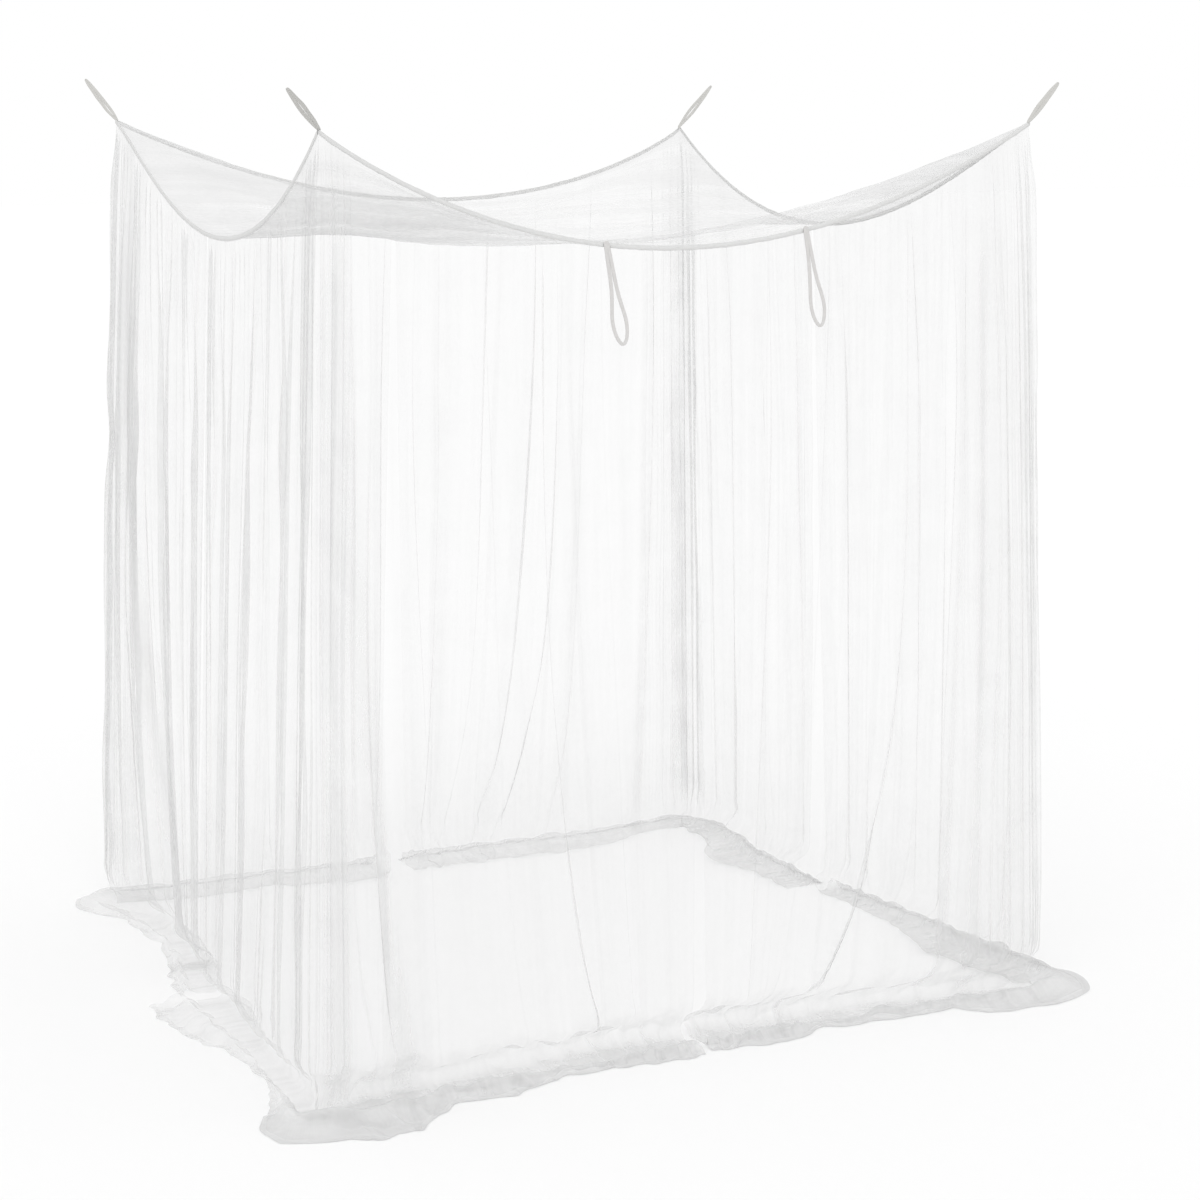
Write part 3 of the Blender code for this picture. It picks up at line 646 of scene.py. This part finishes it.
    def heap_layers(self, along, rows):
        """The layers added from row to row of the cloth on the floor, more where it is heaped high."""
        steps = np.arange(1, rows + 1) / POOL_STEPS
        table = [0, *(layers for _, _, layers in POOL_ROWS)]
        added = np.interp(steps, range(len(table)), table)
        heap = blended(along, self.heaps) * (1 + ramp((self.hem(along)[3] - HIGH_HEAP) / HEAP_BLEND))
        return added[:, None] * heap

    def wall(self, along, rows):
        """The hanging cloth, from under the tape down to just above the floor."""
        edge = self.edge(along)
        lowest = edge - FOOT_HEIGHT
        below = -TAPE_HEIGHT / 2 + (lowest + TAPE_HEIGHT / 2) * rows[:, None]
        level = np.maximum(0, below - TAPE_HEIGHT / 2) / edge
        along = np.broadcast_to(along, below.shape)
        stance = self.hem(along[0])[0]
        aside, crease, _ = self.creases(along, below, level)
        out = self.folds(along, below) + self.pleats(along, below) + crease + stance * level**STANCE_POWER
        plan = self.base(along, level, aside) + self.outward(along, level) * out[..., None]
        return np.concatenate([plan, (edge - below)[..., None]], axis=-1)

    def hem(self, along):
        """Stance, reach, tuck and lump of the cloth on the floor."""
        places, *sizes = zip(*HEMS[self.name])
        return [np.interp(self.drift(along, np.ones_like(along)), places, size) for size in sizes]

    def pool(self, along, above):
        """The cloth on the floor, as a smooth curve on from the two lowest rows of the wall."""
        stance, reach, tuck, lump = self.hem(along)
        full = np.ones_like(along)
        foot, outward = self.base(along, full), self.outward(along, full)
        rows = [above[0], above[1]]
        for across, height, _ in POOL_ROWS:
            out = stance + across * (tuck if across < 0 else reach)
            tallest = lump if across < 0 else np.minimum(lump, reach * STEEPEST_RIDGE)
            plan = foot + outward * out[:, None]
            rows.append(np.column_stack([plan, CLOTH / 2 + height * tallest]))
        rows.append(2 * rows[-1] - rows[-2])
        return smooth_rows(rows, POOL_STEPS)

    def crumpled(self, points, along, down):
        """The cloth near the floor, pushed about into small uneven lumps."""
        amount = ramp((CRUMPLE_TOP - points[..., 2]) / CRUMPLE_TOP)
        full = np.ones_like(along)
        outward = self.outward(along, full)
        sideways = np.stack([-outward[..., 1], outward[..., 0]], axis=-1)
        pushes = []
        for number, push in enumerate(CRUMPLE_PUSH):
            pattern = waves(self.seed + CRUMPLE_SEED + number, *CRUMPLE_WAVES)
            pushes.append(push * pattern(along, down) * amount)
        plan = points[..., :2] + (outward * pushes[0][..., None] + sideways * pushes[2][..., None])
        height = points[..., 2] + pushes[1] * (points[..., 2] > LOWEST_CLOTH)
        return np.concatenate([plan, np.maximum(LOWEST_CLOTH, height)[..., None]], axis=-1)

    def grid(self):
        """All points of the curtain and, for each, its place on the flat cloth and its layers."""
        along = self.stations()
        top = np.linspace(0, TOP_SHARE, TOP_ROWS + 1)[:-1]
        rows = np.concatenate([top, np.linspace(TOP_SHARE, 1, WALL_ROWS - TOP_ROWS)])
        wall = self.wall(along, rows)
        pool = self.pool(along, wall[[-1 - FOOT_ROWS, -1]])
        points = np.concatenate([wall, pool[1:]])
        steps = np.linalg.norm(np.diff(points, axis=0), axis=-1)
        down = np.concatenate([np.zeros((1, len(along))), np.cumsum(steps, axis=0)])
        across = np.broadcast_to(along, down.shape)
        points = self.crumpled(points, across, down)
        layers = self.layers(across, down)
        layers[len(wall) :] += self.heap_layers(along, len(pool) - 1)
        down = down / down[-1] * FLAT_CURTAIN[1]
        return points, np.stack([across, down], axis=-1), layers


def smooth_rows(rows, steps):
    """A smooth curve through the rows of points, from the second to the last but one."""
    rows = np.array(rows)
    out = [rows[1]]
    for k in range(1, len(rows) - 2):
        before, start, end, after = rows[k - 1 : k + 3]
        for step in range(1, steps + 1):
            t = step / steps
            straight = 2 * start + (end - before) * t
            bend = (2 * before - 5 * start + 4 * end - after) * t**2
            twist = (3 * start - before - 3 * end + after) * t**3
            out.append((straight + bend + twist) / 2)
    return np.array(out)


def roof_sag(right, back):
    """How far the roof hangs below its hooks."""
    lengthwise = sag("front", right) * (1 - back) + sag("back", 1 - right) * back
    crosswise = sag("left", 1 - back) * (1 - right) + sag("right", back) * right
    return (lengthwise**ROOF_POWER + crosswise**ROOF_POWER) ** (1 / ROOF_POWER)


def roof_ridges(right, back):
    """Soft ridges that fan out from each hook, with finer puckers between them."""
    height = 0
    corners = ((right, back), (1 - right, back), (right, 1 - back), (1 - right, 1 - back))
    for number, (across, up) in enumerate(corners):
        distance = np.hypot(across, up)
        turn = np.arctan2(up, across) / (math.pi / 2)
        near = np.sin(math.pi * np.clip(distance / ROOF_RIDGE_REACH, 0, 1))
        fade = np.sin(math.pi * turn) * near
        height = height + ROOF_RIDGE_DEPTH * fade * np.cos(math.pi * ROOF_RIDGES * turn)
        fine = np.sin(2 * math.pi * (turn * PUCKERS + PUCKER_BEND * np.sin(turn * PUCKER_BENDS + number)))
        height = height + PUCKER_DEPTH * fade * fine * np.exp(-distance / PUCKER_REACH)
    return height


def roof_points():
    """The roof panel's points, their places on the flat cloth and how full the cloth is there."""
    even = np.linspace(0, 1, ROOF_STEPS)
    shares = (1 - np.cos(math.pi * even)) / 2 * (1 - ROOF_EVENNESS) + even * ROOF_EVENNESS
    right, back = np.meshgrid(shares, shares)
    weights = {
        "front_left": (1 - right) * (1 - back),
        "front_right": right * (1 - back),
        "back_right": right * back,
        "back_left": (1 - right) * back,
    }
    points = sum(inside_corner(corner, ROOF_INSET) * weight[..., None] for corner, weight in weights.items())
    rim = np.minimum(np.minimum(right, 1 - right), np.minimum(back, 1 - back))
    uneven = waves(ROOF_SEED, *ROOF_WAVES)(right * FLAT_ROOF[0], back * FLAT_ROOF[1]) * ramp(rim / ROOF_RIM)
    points[..., 2] += roof_ridges(right, back) - roof_sag(right, back) + ROOF_UNEVEN * uneven
    sheer = ROOF_CORNER_SHEER * np.exp(-((np.hypot(right, back) / ROOF_CORNER_REACH) ** 2))
    layers = np.interp(right, *zip(*ROOF_LAYERS)) * (1 - sheer)
    return points, np.stack([back * FLAT_ROOF[1], right * FLAT_ROOF[0]], axis=-1), layers


def tape_points(side):
    """The edge tape, a flat band that puckers a little with the net."""
    _, length, _, outward = side_line(side)
    margin = TAPE_THICKNESS / length
    fractions = np.linspace(margin, 1 - margin, TAPE_STEPS)
    middle = edge_points(side, fractions)
    along = fractions * length
    pucker = waves(len(side) * TAPE_SEED, *TAPE_WAVES)
    out = np.array([*outward, 0]) * TAPE_THICKNESS / 2 * TAPE_FLATNESS
    up = np.array([0, 0, TAPE_HEIGHT / 2])
    rows, places = [], []
    for step, (across, high) in enumerate(TAPE_OUTLINE):
        row = middle + out * across + up * high
        row[:, 2] += TAPE_PUCKER * pucker(along, np.full_like(along, high * TAPE_PUCKER_TURN))
        rows.append(row)
        round_it = step * TAPE_OUTLINE_STEP * TAPE_HEIGHT / 2
        places.append(np.column_stack([along, np.full_like(along, round_it)]))
    return np.array(rows), np.array(places)


def loop_path(shape, foot, axis, across, seed):
    """The tape's middle line round a loop, and each step's share of the loop's length."""
    pinched = shape["width"] * shape["pinch"]
    tip_radius = pinched * LOOP_TIP_RADIUS
    angle = 2 * math.pi * np.arange(LOOP_STEPS + 1) / LOOP_STEPS
    share = (1 - np.cos(angle)) / 2
    skewed = share ** (math.log(0.5) / math.log(shape["widest"]))
    curve = np.where(skewed < 0.5, *shape["curve"])
    eye = (shape["eye"] / 2 - tip_radius) * np.abs(np.sin(math.pi * skewed)) ** curve + tip_radius
    aside = eye * np.copysign(np.abs(np.sin(angle)) ** LOOP_TIP_BLUNTNESS, np.sin(angle))
    aside += LOOP_UNEVEN * np.sin(angle) * waves(seed, *LOOP_WAVES)(angle / LOOP_WAVE_TURN, share)
    along = pinched / 2 - shape["foot"] + share * (shape["length"] - pinched + shape["foot"])
    return foot + axis * along[:, None] + across * aside[:, None], share


def loop_points(shape, foot, axis, across, seed):
    """A loop of flat tape: both ends sewn down at foot, the eye opening along across, the tip along axis."""
    path, share = loop_path(shape, foot, axis, across, seed)
    normal = np.cross(axis, across)
    ahead = unit(np.roll(path[:-1], -1, axis=0) - np.roll(path[:-1], 1, axis=0))
    wide = np.cross(normal, np.concatenate([ahead, ahead[:1]]))
    flare = np.sin(math.pi * share) ** LOOP_FLARE
    width = shape["width"] * (shape["pinch"] + (1 - shape["pinch"]) * flare)[:, None]
    run = np.concatenate([[0], np.cumsum(np.linalg.norm(np.diff(path, axis=0), axis=1))])
    rows, places = [], []
    for step in range(LOOP_SECTION + 1):
        turn = 2 * math.pi * step / LOOP_SECTION
        flat = math.copysign(abs(math.cos(turn)) ** LOOP_FACE, math.cos(turn))
        thick = math.copysign(abs(math.sin(turn)) ** LOOP_EDGE, math.sin(turn))
        rows.append(path + wide * flat * width / 2 + normal * thick * shape["thickness"] / 2)
        round_it = step / LOOP_SECTION * shape["width"] * 2
        places.append(np.column_stack([run, np.full_like(run, round_it)]))
    return np.array(rows), np.array(places)


def corner_loop_points(corner, seed):
    """The loop at one top corner, pulled up and outwards by its hook."""
    heading, lift, roll = np.radians(CORNER_LOOPS[corner])
    level = np.array([-math.sin(heading), math.cos(heading), 0])
    axis = np.array([math.cos(heading) * math.cos(lift), math.sin(heading) * math.cos(lift), math.sin(lift)])
    across = level * math.cos(roll) + np.cross(axis, level) * math.sin(roll)
    foot = inside_corner(corner, CURTAIN_INSET)
    points, places = loop_points(CORNER_LOOP, foot, axis, across, seed)
    points[..., 2] += hook(corner)[2] - points[..., 2].min()
    return points, places


def tie_back_points(name, seed):
    """A tie-back, which hangs from the front edge tape."""
    _, length, direction, outward = side_line("front")
    top = edge_points("front", np.array([TIE_BACKS[name] / length]))[0]
    out = np.array([*outward, 0])
    foot = top + out * (TAPE_THICKNESS / 2 + SEAM_GAP + TIE_BACK["thickness"] / 2)
    foot = foot + np.array([0, 0, TAPE_HEIGHT / 2])
    drop = np.array([*(direction * TIE_BACK_SWING), -TIE_BACK["length"]]) + out * TIE_BACK_STANDOFF
    axis = unit(drop)
    across = unit(np.cross(axis, out))
    return loop_points(TIE_BACK, foot, axis, across, seed)


# Pieces

def add_sheet(name, node, slot, points, places, material, layers=None):
    """A mesh over a grid of points, with the flat cloth's places in metres as its UV map."""
    rows, columns = points.shape[:2]
    corner = (np.arange(rows - 1)[:, None] * columns + np.arange(columns - 1)).ravel()
    quads = np.column_stack([corner, corner + columns, corner + columns + 1, corner + 1])
    mesh = bpy.data.meshes.new(name)
    mesh.vertices.add(rows * columns)
    mesh.vertices.foreach_set("co", (points + SHIFT).ravel())
    mesh.loops.add(quads.size)
    mesh.loops.foreach_set("vertex_index", quads.ravel())
    mesh.polygons.add(len(quads))
    mesh.polygons.foreach_set("loop_start", np.arange(0, quads.size, 4))
    mesh.update(calc_edges=True)
    flat = mesh.uv_layers.new(name="flat_cloth")
    flat.data.foreach_set("uv", places.reshape(-1, 2)[quads.ravel()].ravel())
    if layers is not None:
        spread = mesh.attributes.new("layers", "FLOAT", "POINT")
        spread.data.foreach_set("value", layers.ravel())
    mesh.shade_smooth()
    mesh.materials.append(material)
    piece = bpy.data.objects.new(name, mesh)
    bpy.context.scene.collection.objects.link(piece)
    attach(piece, "root")
    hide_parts(node)
    return piece


def add_curtain(corner, number, net, tape):
    """One corner's curtain, with the loop that is sewn to its top."""
    points, places, layers = Curtain(corner, CURTAIN_SEED * (number + 1)).grid()
    piece = add_sheet("net_curtain_" + corner, "curtain_" + corner, "net", points, places, net, layers)
    grid = corner_loop_points(corner, LOOP_SEED + number)
    loop = add_sheet("hanging_loop_" + corner, "corner_loop_" + corner, "loop", *grid, tape)


def add_roof(material):
    """The net roof, which hangs from the edge tapes."""
    points, places, layers = roof_points()
    piece = add_sheet("net_roof", "roof_panel", "net", points, places, material, layers)


def add_binding(side, material):
    """The tape folded over one edge of the roof."""
    piece = add_sheet("binding_" + side, "edge_tape_" + side, "tape", *tape_points(side), material)


# Materials

def add_node(tree, kind, **settings):
    """A node with these settings."""
    node = tree.nodes.new(kind)
    for name, value in settings.items():
        setattr(node, name, value)
    return node


def calculate(tree, operation, *values):
    """The result of a sum. Each value is a number or a socket."""
    node = add_node(tree, "ShaderNodeMath", operation=operation)
    for socket, value in zip(node.inputs, values):
        if isinstance(value, (int, float)):
            socket.default_value = value
        else:
            tree.links.new(value, socket)
    return node.outputs[0]


def add_noise(tree, places, scale, detail):
    """Soft noise from 0 to 1."""
    noise = add_node(tree, "ShaderNodeTexNoise")
    noise.inputs["Scale"].default_value = scale
    noise.inputs["Detail"].default_value = detail
    tree.links.new(places, noise.inputs["Vector"])
    return noise.outputs["Fac"]


def cloth_places(tree, flat):
    """How far across and how far along the flat cloth each point lies."""
    split = add_node(tree, "ShaderNodeSeparateXYZ")
    tree.links.new(flat, split.inputs[0])
    return split.outputs["X"], split.outputs["Y"]


def new_group(name, values, results):
    """A node group on the flat cloth: its tree, its inputs and its outputs."""
    tree = bpy.data.node_groups.new(name, "ShaderNodeTree")
    tree.interface.new_socket("Flat Cloth", in_out="INPUT", socket_type="NodeSocketVector")
    for label, value in values.items():
        socket = tree.interface.new_socket(label, in_out="INPUT", socket_type="NodeSocketFloat")
        socket.default_value = value
    for label in results:
        tree.interface.new_socket(label, in_out="OUTPUT", socket_type="NodeSocketFloat")
    return tree, tree.nodes.new("NodeGroupInput").outputs, tree.nodes.new("NodeGroupOutput").inputs


def use_group(tree, group, flat, **values):
    """A group's outputs, with these values as its inputs."""
    node = add_node(tree, "ShaderNodeGroup", node_tree=group)
    tree.links.new(flat, node.inputs["Flat Cloth"])
    for name, value in values.items():
        node.inputs[name].default_value = value
    return node.outputs


def thread_lines(tree, places, pitch, share):
    """1 along evenly spaced threads, 0 between them, with soft edges."""
    turn = calculate(tree, "FRACT", calculate(tree, "DIVIDE", places, pitch))
    middle = calculate(tree, "ABSOLUTE", calculate(tree, "SUBTRACT", turn, 0.5))
    inside = calculate(tree, "SUBTRACT", calculate(tree, "MULTIPLY", share, 0.5), middle)
    edge = calculate(tree, "MULTIPLY_ADD", inside, THREAD_SHARPNESS, 0.5)
    return calculate(tree, "SMOOTH_MIN", edge, 1.0, THREAD_SOFTNESS)


def net_weave_group():
    """Fine square net: where its threads are, and so how it stands up."""
    values = {"Pitch": MESH_PITCH, "Thread Share": THREAD_SHARE}
    tree, given, result = new_group("net_weave", values, ("Threads",))
    threads = 0.0
    for places in cloth_places(tree, given["Flat Cloth"]):
        lines = thread_lines(tree, places, given["Pitch"], given["Thread Share"])
        threads = calculate(tree, "MAXIMUM", lines, threads)
    tree.links.new(threads, result["Threads"])
    return tree


def cloth_fullness_group():
    """How much net lies over itself: soft streaks and larger patches, about 1 on average."""
    values = dict(zip(("Fineness", "Streaks", "Patches"), (*WALL_STREAKS, PATCHES)))
    tree, given, result = new_group("cloth_fullness", values, ("Fullness",))
    scale = add_node(tree, "ShaderNodeCombineXYZ")
    tree.links.new(given["Fineness"], scale.inputs["X"])
    scale.inputs["Y"].default_value = STREAK_RUN
    stretch = add_node(tree, "ShaderNodeMapping")
    tree.links.new(scale.outputs[0], stretch.inputs["Scale"])
    tree.links.new(given["Flat Cloth"], stretch.inputs["Vector"])
    streaks = add_noise(tree, stretch.outputs[0], 1.0, STREAK_DETAIL)
    patches = add_noise(tree, given["Flat Cloth"], PATCH_SCALE, PATCH_DETAIL)
    full = 1.0
    for noise, strength in ((streaks, given["Streaks"]), (patches, given["Patches"])):
        uneven = calculate(tree, "MULTIPLY", calculate(tree, "SUBTRACT", noise, 0.5), strength)
        full = calculate(tree, "MULTIPLY_ADD", uneven, FULLNESS_GAIN, full)
    tree.links.new(calculate(tree, "MAXIMUM", full, LEAST_FULLNESS), result["Fullness"])
    return tree


def tape_weave_group():
    """Plain woven tape: ribs across it and threads along it, in its height and in painted light and shade
    (lighter on the ribs, darker in the hollows), with a soft random grain in its tone.
    """
    tree, given, result = new_group("tape_weave", {"Pitch": TAPE_PITCH}, ("Height", "Painted Weave Shade And Grain"))
    ribs = []
    for places in cloth_places(tree, given["Flat Cloth"]):
        turn = calculate(tree, "DIVIDE", places, given["Pitch"])
        ribs.append(calculate(tree, "SINE", calculate(tree, "MULTIPLY", turn, 2 * math.pi)))
    height = calculate(tree, "MULTIPLY_ADD", calculate(tree, "MULTIPLY", *ribs), 0.5, 0.5)
    tree.links.new(height, result["Height"])
    grain = add_noise(tree, given["Flat Cloth"], GRAIN_SCALE, GRAIN_DETAIL)
    both = calculate(tree, "ADD", height, grain)
    shade = calculate(tree, "MULTIPLY_ADD", both, TAPE_SHADE, 1 - TAPE_SHADE)
    tree.links.new(shade, result["Painted Weave Shade And Grain"])
    return tree


def plain_material(name, colour, roughness, shine):
    """A material of one colour, with its tree and its shader."""
    material = bpy.data.materials.new(name)
    material.use_nodes = True
    shader = material.node_tree.nodes["Principled BSDF"]
    shader.inputs["Base Color"].default_value = (*colour, 1)
    shader.inputs["Roughness"].default_value = roughness
    shader.inputs["Specular IOR Level"].default_value = shine
    return material, material.node_tree, shader


def raise_surface(tree, shader, height, distance, strength):
    """Small relief of the threads."""
    bump = add_node(tree, "ShaderNodeBump")
    bump.inputs["Strength"].default_value = strength
    bump.inputs["Distance"].default_value = distance
    tree.links.new(height, bump.inputs["Height"])
    tree.links.new(bump.outputs[0], shader.inputs["Normal"])


def net_cover(tree, flat, threads, full, hemmed):
    """How much of what is behind it the net hides, seen straight on."""
    cover = calculate(tree, "MULTIPLY", full, NET_COVER)
    if hemmed:
        hem = calculate(tree, "GREATER_THAN", cloth_places(tree, flat)[1], FLAT_CURTAIN[1] - HEM_WIDTH)
        cover = calculate(tree, "MULTIPLY", cover, calculate(tree, "MULTIPLY_ADD", hem, HEM_COVER - 1, 1.0))
    layers = add_node(tree, "ShaderNodeAttribute", attribute_name="layers")
    cover = calculate(tree, "MULTIPLY", cover, layers.outputs["Fac"])
    contrast = calculate(tree, "SUBTRACT", threads, THREAD_MEAN)
    cover = calculate(tree, "MULTIPLY_ADD", contrast, NET_COVER * THREAD_CONTRAST, cover)
    return calculate(tree, "MINIMUM", cover, MOST_COVER)


def slanted_cover(tree, cover, steepest):
    """The same at a slant: the steeper the net is seen, the more threads lie in the way."""
    facing = add_node(tree, "ShaderNodeLayerWeight")
    facing.inputs["Blend"].default_value = 0.5
    slant = calculate(tree, "SUBTRACT", 1.0, facing.outputs["Facing"])
    slant = calculate(tree, "MAXIMUM", slant, steepest)
    through = calculate(tree, "SUBTRACT", 1.0, cover)
    through = calculate(tree, "POWER", through, calculate(tree, "DIVIDE", 1.0, slant))
    return calculate(tree, "SUBTRACT", 1.0, through)


def net_material(name, weave, fullness, streaks, steepest, hemmed):
    """Sheer white net."""
    material, tree, shader = plain_material(name, NET_COLOUR, NET_ROUGHNESS, CLOTH_SHINE)
    flat = add_node(tree, "ShaderNodeUVMap", uv_map="flat_cloth").outputs[0]
    threads = use_group(tree, weave, flat)["Threads"]
    full = use_group(tree, fullness, flat, Fineness=streaks[0], Streaks=streaks[1])["Fullness"]
    cover = net_cover(tree, flat, threads, full, hemmed)
    tree.links.new(slanted_cover(tree, cover, steepest), shader.inputs["Alpha"])
    raise_surface(tree, shader, threads, *NET_RELIEF)
    return material


def tape_material(name, weave, colour):
    """Woven tape of this colour."""
    material, tree, shader = plain_material(name, colour, TAPE_ROUGHNESS, CLOTH_SHINE)
    flat = add_node(tree, "ShaderNodeUVMap", uv_map="flat_cloth").outputs[0]
    woven = use_group(tree, weave, flat)
    # The tape's colour times painted light and shade from its weave, lighter on the ribs and darker in the
    # hollows, and a random grain
    tint = add_node(tree, "ShaderNodeMix", data_type="RGBA", blend_type="MULTIPLY")
    tint.inputs["Factor"].default_value = 1.0
    tint.inputs["A"].default_value = (*colour, 1)
    tree.links.new(woven["Painted Weave Shade And Grain"], tint.inputs["B"])
    tree.links.new(tint.outputs["Result"], shader.inputs["Base Color"])
    raise_surface(tree, shader, woven["Height"], *TAPE_RELIEF)
    return material


# Stage, light and camera

def add_floor():
    """A wide white floor."""
    half = FLOOR_SIZE / 2
    mesh = bpy.data.meshes.new("floor")
    corners = [(-half, -half, 0), (half, -half, 0), (half, half, 0), (-half, half, 0)]
    mesh.from_pydata(corners, [], [(0, 1, 2, 3)])
    mesh.materials.append(plain_material("floor_white", FLOOR_COLOUR, FLOOR_ROUGHNESS, 0.0)[0])
    floor = bpy.data.objects.new("floor", mesh)
    bpy.context.scene.collection.objects.link(floor)


def add_lights():
    """A white studio all round, and one soft light."""
    scene = bpy.context.scene
    world = bpy.data.worlds.new("white_studio")
    world.use_nodes = True
    world.node_tree.nodes["Background"].inputs["Color"].default_value = (1, 1, 1, 1)
    scene.world = world
    lamp = bpy.data.lights.new("soft_sun", "SUN")
    lamp.energy = SUN_STRENGTH
    lamp.angle = math.radians(SUN_ANGLE)
    sun = bpy.data.objects.new("soft_sun", lamp)
    sun.rotation_euler = (*np.radians(SUN_TILT), 0)
    scene.collection.objects.link(sun)
    scene.view_settings.view_transform = "Standard"
    scene.cycles.transparent_max_bounces = SHEETS_SEEN_THROUGH


def add_camera():
    """The camera at the photograph's viewing angle."""
    yaw, pitch = math.radians(CAMERA_YAW), math.radians(CAMERA_PITCH)
    ahead = np.array([math.sin(yaw) * math.cos(pitch), math.cos(yaw) * math.cos(pitch), -math.sin(pitch)])
    right = np.array([math.cos(yaw), -math.sin(yaw), 0.0])
    up = np.cross(right, ahead)
    place = np.array(CAMERA_PLACE) + SHIFT
    lens = bpy.data.cameras.new("camera")
    lens.angle = math.radians(CAMERA_FIELD)
    camera = bpy.data.objects.new("camera", lens)
    turned = np.column_stack([right, up, -ahead, place])
    camera.matrix_world = Matrix([*turned.tolist(), [0, 0, 0, 1]])
    bpy.context.scene.collection.objects.link(camera)
    bpy.context.scene.camera = camera


SHIFT = net_shift()

weave = net_weave_group()
fullness = cloth_fullness_group()
woven_tape = tape_weave_group()
roof_net = net_material("net_roof_cloth", weave, fullness, ROOF_STREAKS, ROOF_STEEPEST, hemmed=False)
wall_net = net_material("net_wall_cloth", weave, fullness, WALL_STREAKS, WALL_STEEPEST, hemmed=True)
binding = tape_material("binding_tape", woven_tape, TAPE_COLOUR)
# The corner loops' tape: the tie-backs' tape painted darker, as painted shade
loop_tape_painted_shade = tape_material("loop_tape_painted_shade", woven_tape, LOOP_COLOUR_WITH_PAINTED_SHADE)
tie_tape = tape_material("tie_tape", woven_tape, TIE_COLOUR)

add_roof(roof_net)
for number, corner in enumerate(CURTAINS):
    add_curtain(corner, number, wall_net, loop_tape_painted_shade)
for number, name in enumerate(TIE_BACKS):
    grid = tie_back_points(name, TIE_SEED + number)
    add_sheet("curtain_tie_" + name, "tie_back_" + name, "loop", *grid, tie_tape)
for side in SIDES:
    add_binding(side, binding)
add_floor()
add_lights()
add_camera()
